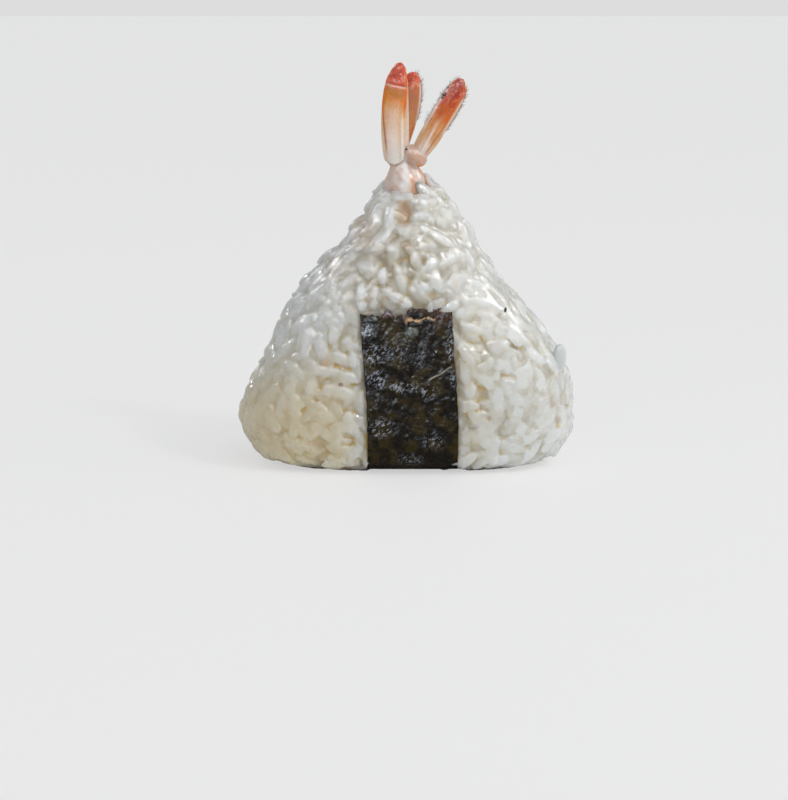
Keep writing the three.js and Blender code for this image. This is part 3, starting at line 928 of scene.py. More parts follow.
@dataclass(frozen=True)
class GrainMould:
    """The forms that cooked short grains take, at length, width and thickness 2."""

    sides: int
    rings: int
    kinds: int = 14
    lumpiness: float = 0.13
    seed: int = 41

    def points(self) -> Array:
        """The vertices of every kind, with the axes kind, vertex, and x, y, z."""
        random = np.random.default_rng(self.seed)
        along = -np.cos(np.pi * (np.arange(self.rings) + 0.5) / self.rings)[:, None]
        a = circle(self.sides)
        made = []
        for _ in range(self.kinds):
            bend, belly, notch, split = random.uniform([-0.28, -0.2, 0.1, 0.04], [0.28, 0.2, 0.55, 0.16])
            taper, twist, phase, blunt = random.uniform([-0.38, -0.6, 0.0, 1.6], [0.38, 0.6, 2 * np.pi, 2.4])
            radius = (1.0 - np.abs(along) ** blunt) ** (1.0 / blunt) * (1.0 + taper * along)
            ridge = 1.0 + split * np.cos(2 * a + phase) + 0.5 * split * np.cos(3 * a - phase)
            ridge = ridge - notch * bell(along, 0.78, 0.2) * np.maximum(np.cos(a - phase), 0.0) ** 2
            turn = a + twist * along
            y = radius * ridge * np.cos(turn) + belly * (1 - along**2)
            z = radius * ridge * np.sin(turn) + bend * (along**2 - 0.35)
            body = xyz(along, y, z).reshape(-1, 3)
            ends = np.array([[-1.0, 0.0, 0.65 * bend], [1.0, 0.0, 0.65 * bend]])
            whole = np.vstack([body, ends])
            lumps = [noise(whole + 3 * k, 0.9, self.seed + k) for k in range(3)]
            whole += self.lumpiness * np.stack(lumps, axis=1)
            made.append(whole)
        return np.array(made)

    def faces(self) -> Faces:
        """The faces that every kind shares."""
        faces = grid_faces(self.rings, self.sides, closed=True).tolist()
        first, last = self.rings * self.sides, self.rings * self.sides + 1
        top = (self.rings - 1) * self.sides
        for i in range(self.sides):
            j = (i + 1) % self.sides
            faces.append([first, j, i])
            faces.append([last, top + i, top + j])
        return faces


@dataclass
class Grains:
    """Where grains lie: their middles, the ways they point and their sizes."""

    middle: Array
    axis: Array
    up: Array
    size: Array
    tone: Array

    def lines(self) -> Array:
        """Three points along each grain, with the axes grain, point, and x, y, z."""
        shares = np.array([-0.32, 0.0, 0.32])
        return self.middle[:, None, :] + shares[None, :, None] * (self.axis * self.size[:, :1])[:, None, :]

    def mesh(self, mould: GrainMould, seed: int) -> tuple[Array, Faces]:
        """All the grains as one mesh.

        Args:
            mould: gives each grain its form.
            seed: picks which form each grain has.

        Returns:
            The mesh's points and faces.
        """
        random = np.random.default_rng(seed)
        moulds = mould.points()
        kind = random.integers(0, mould.kinds, len(self.middle))
        side = unit(np.cross(self.up, self.axis))
        up = unit(np.cross(self.axis, side))
        turned = np.stack([self.axis, side, up], axis=1)
        points = np.einsum("nvi,nij->nvj", moulds[kind] * (self.size / 2)[:, None, :], turned)
        points += self.middle[:, None, :]
        count, one = moulds.shape[1], mould.faces()
        faces = [[v + g * count for v in face] for g in range(len(self.middle)) for face in one]
        return points.reshape(-1, 3), faces

    def chosen(self, keep: Array) -> "Grains":
        """Only the grains that the mask keeps."""
        return Grains(self.middle[keep], self.axis[keep], self.up[keep], self.size[keep], self.tone[keep])

    @staticmethod
    def joined(*groups: "Grains") -> "Grains":
        """Several groups as one."""
        keys = ("middle", "axis", "up", "size", "tone")
        return Grains(*(np.concatenate([getattr(group, key) for group in groups]) for key in keys))


@dataclass(frozen=True)
class Layer:
    """How one layer of grains is strewn over the form, and how it settles."""

    count: int
    height: float
    spacing: float
    tilt: float
    seed: int
    reach: float
    rounds: int
    centred: float = 0.0
    scale: float = 1.0
    tone: tuple[float, float] = (0.0, 1.0)
    tries: int = 12000


@dataclass(frozen=True)
class Fleck:
    """A small bit that lies on the rice's front: where, how large and of which colour."""

    name: str
    x: float
    z: float
    size: Point
    lean: float
    colour: Colour


@dataclass
class RiceHeap:
    """The pressed rice: a mass of grains fused together, and the small bits that lie on it."""

    form: RiceForm
    in_nori: Callable[[Array, float], Array]
    in_prawn: Callable[[Array, float], Array]
    length: float = 7.9
    width: float = 3.55
    thickness: float = 2.7
    variation: float = 0.13
    rim_pull: float = 0.75
    voxel: float = 0.28
    first_ratio: float = 0.5
    most_faces: int = 194000
    back_from: float = 2.0
    core_grows: float = 0.1
    crevice: float = 0.10
    crease: float = 0.09
    crease_width: float = 0.34
    press_from: float = 1.1
    press_keeps: float = 0.45
    flatten: float = 0.42
    flat_level: float = 0.85
    # How strong the painted shade in the crevices is.
    crevice_shade: float = 0.75
    # How much deeper the painted shade in the crevices is beside the nori.
    nori_side_shade: float = 1.3
    # How much lighter the crests are painted: painted light.
    crest_light: float = 0.12
    # Deeper layers get lower tones, so the grains low in the gaps show more see-through and darker: partly
    # the rice's own colour, partly painted shade.
    deep: Layer = Layer(
        count=760, height=-0.55, spacing=0.45, tilt=0.3, seed=7, reach=2.8, rounds=10, tone=(0.0, 0.35)
    )
    shown: Layer = Layer(
        count=600, height=0.05, spacing=0.58, tilt=0.22, seed=11, reach=3.2, rounds=30, tone=(0.0, 0.7)
    )
    loose: Layer = Layer(
        count=260, height=0.65, spacing=0.85, tilt=0.3, seed=23, reach=3.1, rounds=8,
        centred=0.8, scale=0.93, tone=(0.2, 0.85),
    )
    bits: Layer = Layer(
        count=170, height=1.0, spacing=0.7, tilt=0.8, seed=31, reach=1.6, rounds=3,
        scale=0.42, tone=(0.2, 0.9),
    )
    # The grains round the prawn: the place of each, then how far it leans out across and in depth.
    collar: tuple[Row, ...] = (
        (4.9, -3.6, 65.9, 0.6, -0.2), (7.6, -3.0, 63.8, 0.7, -0.1), (-6.9, -2.6, 63.0, -0.45, -0.1),
        (-8.6, -1.0, 61.0, -0.6, 0.0), (-7.0, 2.8, 64.4, -0.45, 0.3), (-4.4, 5.8, 64.2, -0.3, 0.6),
        (-0.8, 6.8, 64.6, 0.1, 0.6), (2.9, 6.1, 65.6, 0.3, 0.5), (5.7, 3.6, 67.0, 0.5, 0.3),
        (6.3, 0.4, 66.8, 0.6, 0.0), (8.8, 0.8, 64.0, 0.7, 0.1),
    )
    # The pockets under the prawn: middle, half sizes and depth.
    hollows: tuple[tuple[Point, Point, float], ...] = (
        ((-0.9, -9.0, 62.0), (1.9, 6.0, 2.9), 1.9),
        ((-2.4, -6.5, 67.0), (3.6, 4.0, 2.2), 0.7),
    )
    # Tan patches painted on the front, the first in the hollow under the prawn: x, z, half width, half
    # height and strength.
    tan_patches: tuple[Row, ...] = (
        (-0.9, 62.0, 1.9, 2.9, 0.8), (-19.2, 27.5, 1.3, 1.0, 0.75), (-20.7, 23.7, 0.6, 0.6, 0.6),
        (-23.0, 8.0, 1.2, 0.8, 0.6), (-0.4, 54.8, 0.8, 0.9, 0.5), (11.0, 46.2, 0.8, 0.9, 0.4),
        (-10.6, 58.0, 3.2, 5.0, 0.35), (-17.5, 49.5, 3.6, 3.4, 0.22),
    )
    bare_across: tuple[float, float] = (-6.2, 1.6)
    bare_from: float = 62.0
    placed_height: float = 0.8
    # The grains that stand out on the front: x, z, lean in degrees, length and width.
    placed: tuple[Row, ...] = (
        (-7.3, 61.1, 80, 5.3, 3.1), (-4.3, 60.7, 95, 5.5, 2.9), (-5.8, 56.3, 55, 6.7, 3.1),
        (-3.4, 53.4, 120, 4.1, 2.6), (-0.7, 58.0, 100, 4.6, 3.4), (2.7, 61.0, 10, 4.8, 2.9),
        (3.7, 64.2, 75, 4.3, 2.9), (1.7, 51.3, 100, 4.1, 3.4), (3.4, 54.1, 20, 3.8, 2.6),
        (5.3, 50.1, 60, 4.3, 2.4), (-9.8, 49.5, 150, 4.1, 3.4), (-1.9, 47.1, 105, 7.2, 3.6),
        (-2.8, 42.9, 148, 8.2, 3.6), (-10.9, 42.8, 95, 6.5, 3.4), (3.2, 45.4, 155, 4.3, 2.4),
        (-5.9, 47.8, 90, 4.1, 2.2), (7.8, 55.8, 150, 7.2, 3.4), (9.4, 51.3, 40, 6.2, 2.9),
        (6.7, 46.1, 120, 5.3, 2.9), (11.3, 45.9, 100, 5.3, 2.9), (-26.4, 24.9, 147, 7.2, 2.9),
        (-19.3, 25.6, 175, 7.9, 2.8), (-27.7, 21.5, 80, 5.3, 3.4), (-22.8, 21.6, 75, 4.6, 3.4),
        (-16.6, 20.6, 170, 7.4, 3.6), (-13.8, 24.1, 165, 4.3, 2.6), (-15.7, 28.8, 150, 4.3, 2.9),
        (-12.9, 28.4, 95, 3.8, 2.4), (-23.9, 31.1, 80, 6.0, 2.9), (-20.2, 31.2, 105, 6.7, 3.1),
        (-24.5, 10.4, 150, 4.8, 2.4), (-20.2, 15.3, 160, 7.7, 4.1), (-26.9, 16.4, 95, 6.2, 3.6),
        (15.1, 35.6, 160, 6.5, 2.9), (13.6, 29.3, 125, 7.2, 2.9), (17.6, 23.6, 145, 7.4, 3.1),
        (14.8, 20.9, 60, 3.4, 2.4), (21.2, 18.6, 95, 6.2, 3.1), (-1.4, 65.7, 172, 5.6, 2.6),
        (-4.6, 65.2, 40, 4.6, 2.6),
    )
    flecks: tuple[Fleck, ...] = (
        Fleck("rice_speck_dark", 23.2, 39.4, (0.3, 0.25, 0.65), 0.15, (0.02, 0.02, 0.025)),
        Fleck("rice_fleck_brown", -15.9, 22.6, (0.6, 0.15, 0.45), 0.0, (0.36, 0.28, 0.17)),
        Fleck("rice_stray_grain", 36.5, 26.5, (1.65, 1.2, 3.7), 0.08, (0.74, 0.775, 0.78)),
    )
    # The white broken grains on the left of the face: x, z, turn in radians and length.
    broken: tuple[Row, ...] = (
        (-18.4, 38.4, 0.4, 3.0), (-17.0, 39.3, 1.3, 2.6), (-15.8, 38.2, 2.2, 2.8), (-17.4, 37.2, 0.1, 2.6),
        (-16.0, 36.9, 1.0, 2.0), (-18.9, 37.0, 1.9, 2.0),
    )

    def thrown(self, layer: Layer) -> Grains:
        """Grains thrown at random over the form, many more than the layer keeps.

        Args:
            layer: how they are strewn.

        Returns:
            The grains as they fall.
        """
        random = np.random.default_rng(layer.seed)
        points, faces = self.form.skin(72, 120)
        corners = np.array([[f[0], f[i], f[i + 1]] for f in faces for i in range(1, len(f) - 1)])
        a, b, c = (points[corners[:, i]] for i in range(3))
        areas = np.linalg.norm(np.cross(b - a, c - a), axis=1)
        pick = random.choice(len(corners), layer.tries, p=areas / areas.sum())
        u, v = random.random((2, layer.tries, 1))
        flip = u + v > 1.0
        u, v = np.where(flip, 1 - u, u), np.where(flip, 1 - v, v)
        spot = a[pick] + u * (b - a)[pick] + v * (c - a)[pick]
        normal = self.form.normal(spot)
        level = np.cross(np.array([0.0, 1.0, 0.0]), normal)
        pull = self.rim_pull * ease(np.linalg.norm(level, axis=1), 0.12, 0.6)
        level = unit(level)
        spin = (random.random(layer.tries) - 0.5) * (np.pi * (1 - pull) + 0.4)
        axis = np.cos(spin)[:, None] * level + np.sin(spin)[:, None] * np.cross(normal, level)
        axis = unit(axis + normal * random.uniform(-layer.tilt, layer.tilt, (layer.tries, 1)))
        roll = random.uniform(-0.6, 0.6, (layer.tries, 1))
        vary = layer.scale * random.uniform(1 - self.variation, 1 + self.variation, (layer.tries, 3))
        vary[:, 0] *= random.uniform(0.72, 1.04, layer.tries)
        size = vary * np.array([self.length, self.width, self.thickness])
        middle = spot + normal * (layer.height + random.uniform(-0.25, 0.25, (layer.tries, 1)))
        tone = random.uniform(*layer.tone, layer.tries)
        up = unit(normal + roll * np.cross(axis, normal))
        form_middle, form_width, _, _ = self.form.level(spot[:, 2])
        aside = np.abs(spot[:, 0] - form_middle) / form_width
        wanted = random.random(layer.tries) > layer.centred * ease(aside, 0.4, 0.85)
        return Grains(middle, axis, up, size, tone).chosen(wanted)

    def strewn(self, layer: Layer, around: Grains | None = None) -> Grains:
        """One layer of grains, spread evenly by dropping those that crowd others.

        Args:
            layer: how they are strewn.
            around: grains already in place, which they keep clear of.

        Returns:
            The new grains alone.
        """
        thrown = self.thrown(layer)
        taken = np.empty((0, 3)) if around is None else around.lines().reshape(-1, 3)
        kept = []
        for i, line in enumerate(thrown.lines()):
            if len(kept) >= layer.count:
                break
            if len(taken):
                apart = np.linalg.norm(taken[None, :, :] - line[:, None, :], axis=2).min()
                if apart < layer.spacing * self.width:
                    continue
            kept.append(i)
            taken = np.vstack([taken, line])
        return self.settled(thrown.chosen(np.array(kept)), layer, around)

    def settled(self, grains: Grains, layer: Layer, around: Grains | None) -> Grains:
        """The grains after they have pushed each other aside over the form and turned to fit.

        Args:
            grains: the grains that move.
            layer: how far and how often they push.
            around: grains that push but stay put.

        Returns:
            The grains that moved.
        """
        held = 0
        if around is not None:
            held = len(around.middle)
            grains = Grains.joined(around, grains)
        count = len(grains.middle)
        free = np.arange(count) >= held
        loose = free[:, None]
        depth = self.form.outward(grains.middle)
        for _ in range(layer.rounds):
            spots = grains.lines().reshape(-1, 3)
            tree = search_tree(spots)
            pairs = [
                (i, j) for i, spot in enumerate(spots) for _, j, _ in tree.find_range(spot, layer.reach)
                if i // 3 != j // 3
            ]
            if not pairs:
                break
            here, there = np.array(pairs).T
            apart = spots[here] - spots[there]
            gap = np.maximum(np.linalg.norm(apart, axis=1, keepdims=True), 1e-6)
            push = np.zeros_like(spots)
            np.add.at(push, here, 0.2 * apart / gap * (layer.reach - gap))
            push = push.reshape(count, 3, 3)
            axis = unit(grains.axis + 0.6 * (push[:, 2] - push[:, 0]) / grains.size[:, :1])
            middle = grains.middle + push.mean(axis=1)
            normal = self.form.normal(middle)
            middle = middle + normal * (depth - self.form.outward(middle))[:, None]
            rise = (axis * normal).sum(axis=1, keepdims=True)
            axis = unit(axis + normal * (np.clip(rise, -layer.tilt, layer.tilt) - rise))
            up = unit(normal + 0.3 * (grains.up - normal))
            moved = ((middle, grains.middle), (axis, grains.axis), (up, grains.up))
            middle, axis, up = (np.where(loose, new, old) for new, old in moved)
            grains = Grains(middle, axis, up, grains.size, grains.tone)
        return grains.chosen(free)

    def pressed(self, points: Array) -> Array:
        """The points after the hands, the nori and the board have pressed them."""
        out = self.form.outward(points)
        normal = self.form.normal(points)
        right = ease(points[:, 0], 2.0, 24.0)
        keeps = self.press_keeps * (1.0 - 0.45 * right)
        keeps = keeps + 0.8 * (1.0 - keeps) * (1.0 - ease(np.abs(points[:, 1]), 3.0, 9.0))
        keeps = keeps + (1.0 - keeps) * ease(points[:, 2], 58.0, 62.0)
        limit = np.where(out > self.press_from, self.press_from + keeps * (out - self.press_from), out)
        limit = limit + self.flatten * self.melted_share(points) * (self.flat_level - limit)
        under = self.in_nori(points, 0.0)
        beside = self.in_nori(points, 0.9)
        limit = np.where(under, np.minimum(limit, 0.05), np.where(beside, np.minimum(limit, 0.75), limit))
        points = points + normal * (limit - out)[:, None]
        for at, size, depth in self.hollows:
            away = (points - np.array(at)) / np.array(size)
            points = points - normal * (depth * np.exp(-((away**2).sum(axis=1)) ** 1.5))[:, None]
        points[:, 2] = np.maximum(points[:, 2], 0.02)
        return points

    def relief(self, points: Array, normals: Array, edges: Array) -> tuple[Array, Array]:
        """How deep in a crevice and how high on a grain each point lies, both from 0 to 1."""
        near = ((relaxed(points, edges, 16, 0.6) - points) * normals).sum(axis=1)
        wide = ((relaxed(points, edges, 90, 0.7) - points) * normals).sum(axis=1)
        gap = 0.5 * ease(near, 0.03, 0.3) + 0.7 * ease(wide, 0.15, 0.9)
        crest = 0.4 * ease(-near, -0.05, 0.1) + 0.6 * ease(-wide, -0.1, 0.4)
        return np.clip(gap, 0.0, 1.0), crest

    def clear_of(self, grains: Grains, nori: float, prawn: float) -> Grains:
        """Only the grains that keep those distances from the nori and from the prawn."""
        middle = grains.middle
        return grains.chosen(~self.in_nori(middle, nori) & ~self.before_prawn(middle, prawn))

    def all_grains(self) -> Grains:
        """Every grain of the heap: strewn in layers, broken into bits or placed one by one.

        Returns:
            The grains.
        """
        placed = Grains.joined(self.placed_grains(), self.collar_grains())
        deep = self.strewn(self.deep)
        shown = self.clear_of(self.strewn(self.shown), nori=-0.4, prawn=0.6)
        loose = self.clear_of(self.strewn(self.loose, placed), nori=1.6, prawn=1.2)
        bits = self.clear_of(self.strewn(self.bits, placed), nori=0.5, prawn=0.6)
        return Grains.joined(deep, shown, loose, bits, placed, self.broken_grains())

    def fused(self, grains: Grains) -> Thing:
        """The grains and the core under them as one skin.

        Args:
            grains: every grain of the heap.

        Returns:
            The mass, melted together and pressed, with far too many triangles.
        """
        core, core_faces = self.form.skin(40, 60)
        core = core + self.core_grows * self.form.normal(core)
        grain_mesh = grains.mesh(GrainMould(sides=12, rings=9), seed=3)
        mass = make_object("rice_mass", *as_one(grain_mesh, (core, core_faces)))
        apply_modifier(mass, "REMESH", mode="VOXEL", voxel_size=self.voxel * MM)
        keep_largest_part(mass)
        move_points(mass, self.softened(points_of(mass), edges_of(mass)))
        move_points(mass, self.pressed(self.filled(points_of(mass), normals_of(mass), edges_of(mass))))
        return mass

    def slim(self, mass: Thing) -> None:
        """Takes triangles away, evenly at first and then mostly from the back.

        Args:
            mass: the fused rice.
        """
        whole = triangle_count(mass)
        apply_modifier(mass, "DECIMATE", ratio=self.first_ratio)
        first = triangle_count(mass)
        x, y, _ = points_of(mass).T
        back = ease(y + 0.25 * np.abs(x), self.back_from, self.back_from + 3)
        group = mass.vertex_groups.new(name="back")
        for i, share in enumerate((0.1 + 0.9 * back).tolist()):
            group.add([i], share, "REPLACE")
        apply_modifier(mass, "DECIMATE", ratio=self.most_faces / first, vertex_group="back")
        drop_flaps(mass)
        mass.vertex_groups.clear()
        log.info("rice_mass: from %d through %d to %d triangles", whole, first, triangle_count(mass))

    def mark(self, mass: Thing, grains: Grains) -> None:
        """Marks the mass for its finish, with painted shade, painted light and painted bounce light, and
        sinks the borders between the grains.

        Args:
            mass: the fused rice.
            grains: the grains that it was made of.
        """
        points, normals = points_of(mass), normals_of(mass)
        tone, border = self.owner_near(grains, points)
        flank = self.flank_share(points)
        border *= 1.0 - 0.7 * flank
        tone = tone + 0.6 * flank * (0.4 - tone)
        gap, crest = self.relief(points, normals, edges_of(mass))
        # Painted shade in the crevices and along the grains' borders, deeper beside the nori, plus painted
        # bounce light low on the left.
        gap = (self.crevice_shade * ease(gap, 0.15, 0.9) + 0.05 * border) * (1.0 - 0.4 * flank)
        gap = gap * (1.0 + self.nori_side_shade * self.beside_nori(points)) + self.painted_warmth(points)
        move_points(mass, points - normals * (self.crease * border)[:, None])
        set_values(mass, "gap", np.clip(gap, 0.0, 1.0))
        # Milkier colour on the crests is painted light; less milky rice above the nori is painted shade.
        set_values(mass, "milk_and_light", self.crest_light * crest + tone + self.milk_and_shade(points))
        set_values(mass, "bare", self.tan_share(points))

    def build(self) -> list[Thing]:
        """Makes the fused mass and what lies on it.

        Returns:
            The mass, then the bits.
        """
        grains = self.all_grains()
        mass = self.fused(grains)
        self.slim(mass)
        skin = points_of(mass)
        self.mark(mass, grains)
        return [mass, *(self.fleck(fleck, skin) for fleck in self.flecks)]

    def before_prawn(self, points: Array, margin: float) -> Array:
        """Whether each point lies in the prawn or in the bare patch before it."""
        x, y, z = points.T
        low, high = self.bare_across
        bare = (x > low) & (x < high) & (y < 0) & (z > self.bare_from)
        return bare | self.in_prawn(points, margin)

    def placed_grains(self) -> Grains:
        """The grains that stand out on the front.

        Returns:
            The grains.
        """
        x, z, lean, length, width = np.array(self.placed).T
        under = xyz(x, -self.form.depth_at(x, z), z)
        normal = self.form.normal(under)
        turn = np.radians(lean)
        axis = xyz(np.cos(turn), 0.0, np.sin(turn))
        axis = unit(axis - (axis * normal).sum(axis=1, keepdims=True) * normal)
        size = xyz(length, width, 0.85 * width)
        tone = np.random.default_rng(5).uniform(0.35, 0.85, len(x))
        return Grains(under + self.placed_height * normal, axis, normal, size, tone)

    def fleck(self, fleck: Fleck, skin: Array) -> Thing:
        """Makes a small blunt lens that lies on the front.

        Args:
            fleck: its place, size and colour.
            skin: the points of the rice under it.

        Returns:
            The object.
        """
        near = skin[np.hypot(skin[:, 0] - fleck.x, skin[:, 2] - fleck.z) < 0.6]
        at = np.array([fleck.x, near[:, 1].min(), fleck.z])
        lens, faces = ball(16, 24)
        blunt = np.sign(lens) * np.abs(lens) ** 0.85
        return make_object(fleck.name, (blunt * np.array(fleck.size)) @ leaning(fleck.lean) + at, faces)

    def tan_share(self, points: Array) -> Array:
        """How much the front is tinted tan in the listed patches."""
        share = np.zeros(len(points))
        for x, z, wide, tall, strength in self.tan_patches:
            share = np.maximum(share, strength * bell(from_patch(points, x, z, wide, tall), 0.0, 1.0))
        return share * (points[:, 1] < 0)

    def painted_warmth(self, points: Array) -> Array:
        """How much yellow-tan is painted on the rice: painted bounce light low on its left, and deeper
        painted shade beside the nori.
        """
        x, _, z = points.T
        left = (1 - ease(x, -24.0, -8.0)) * (1 - ease(z, 12.0, 36.0))
        return 0.55 * left + 0.2 * self.beside_nori(points)

    def beside_nori(self, points: Array) -> Array:
        """How near each point is to the nori's sides, where the painted shade between the grains is deeper.
        """
        x, _, z = points.T
        near = bell(x, 14.5, 5.0) + 0.6 * bell(x, -15.0, 4.5)
        return near * (1 - ease(z, 32.0, 46.0))

    def milk_and_shade(self, points: Array) -> Array:
        """How much milkier the rice is on its sides, and the painted shade that makes it less milky and
        darker above the nori.
        """
        x = points[:, 0]
        # Less milky, darker rice above the nori: painted shade.
        centre_shade = np.exp(-from_patch(points, -3.5, 49.0, 9.0, 8.0))
        return 0.2 * ease(x, 4.0, 20.0) + 0.2 * ease(-x, 8.0, 24.0) - 0.4 * centre_shade

    def flank_share(self, points: Array) -> Array:
        """How near each point is to the flanks, where the grains are pressed flat."""
        x, _, z = points.T
        middle, width, _, _ = self.form.level(z)
        aside = (x - middle) / width
        left = 0.6 - 0.3 * ease(z, 28.0, 38.0)
        right = 0.75 - 0.6 * ease(z, 28.0, 46.0)
        flanks = ease(aside, right, right + 0.45) + ease(-aside, left, left + 0.4)
        return np.maximum(flanks, 0.55 * ease(z, 52.0, 60.0))

    def collar_grains(self) -> Grains:
        """The grains that stand round the prawn, each leaning out from it."""
        rows = np.array(self.collar)
        middle = rows[:, :3]
        away = xyz(rows[:, 3], rows[:, 4], 0.0)
        axis = unit(np.array([0.0, 0.0, -1.0]) + 1.3 * away)
        up = unit(away + np.array([0.0, 0.0, 0.3]))
        size = np.tile(np.array([self.length, self.width, self.thickness]) * 0.92, (len(rows), 1))
        return Grains(middle, axis, up, size, np.linspace(0.4, 0.9, len(rows)))

    def broken_grains(self) -> Grains:
        """The white broken grains that lie together on the left of the face."""
        x, z, spin, length = np.array(self.broken).T
        middle = xyz(x, -self.form.depth_at(x, z) - 1.1, z)
        axis = unit(xyz(np.cos(spin), -0.2, np.sin(spin)))
        size = xyz(length, 0.8 * length, 0.75 * length)
        return Grains(middle, axis, self.form.normal(middle), size, np.full(len(x), 2.2))

    def melted_share(self, points: Array) -> Array:
        """How far the grains are melted together: most on the flanks, less on the rim between them."""
        return self.flank_share(points) * ease(np.abs(points[:, 1]), 2.0, 8.0)

    def filled(self, points: Array, normals: Array, edges: Array) -> Array:
        """The points with the deepest crevices filled by starchy paste, more so on the flanks."""
        depth = ((relaxed(points, edges, 16, 0.6) - points) * normals).sum(axis=1)
        level = self.crevice * (1.0 - 0.4 * self.melted_share(points))
        return points + normals * (0.9 * np.maximum(depth - level, 0.0))[:, None]

    def softened(self, points: Array, edges: Array) -> Array:
        """The points with the grains' borders melted together, more so towards the flanks."""
        crisp = relaxed(points, edges, 1, 0.5)
        soft = relaxed(crisp, edges, 7, 0.5)
        return crisp + 0.2 * self.melted_share(points)[:, None] * (soft - crisp)

    def owner_near(self, grains: Grains, points: Array) -> tuple[Array, Array]:
        """Looks up which grain each point belongs to.

        Args:
            grains: every grain of the heap.
            points: places, one a row.

        Returns:
            The tone of the nearest grain, and how near each point is to the next grain's border.
        """
        lines = grains.lines()
        per_grain = lines.shape[1]
        tree = search_tree(lines.reshape(-1, 3))
        owner, margin = np.zeros(len(points), int), np.full(len(points), self.width)
        for i, point in enumerate(points):
            found = tree.find_n(point, 2 * per_grain)
            first = found[0][1] // per_grain
            owner[i] = first
            others = [away for _, j, away in found if j // per_grain != first]
            margin[i] = others[0] - found[0][2] if others else self.width
        from_core = np.linalg.norm(points - grains.middle[owner], axis=1) / (0.5 * grains.size[owner, 0])
        tone = grains.tone[owner] + 0.15 - 0.3 * ease(from_core, 0.3, 1.0)
        return tone, bell(margin, 0.0, self.crease_width)

    def dress(self, pieces: list[Thing]) -> None:
        """Gives the pieces their finish and their place in the frame."""
        mass, *flecks = pieces
        RiceFinish().dress(mass)
        for piece, fleck in zip(flecks, self.flecks):
            constants, colour = {"Roughness": 0.5}, fleck.colour
            SpeckFinish(fleck.name + "_skin", constants, colour, colour).dress(piece)
        for piece in pieces:
            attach(piece, BODY)
        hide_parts("rice")


# ---- the nori


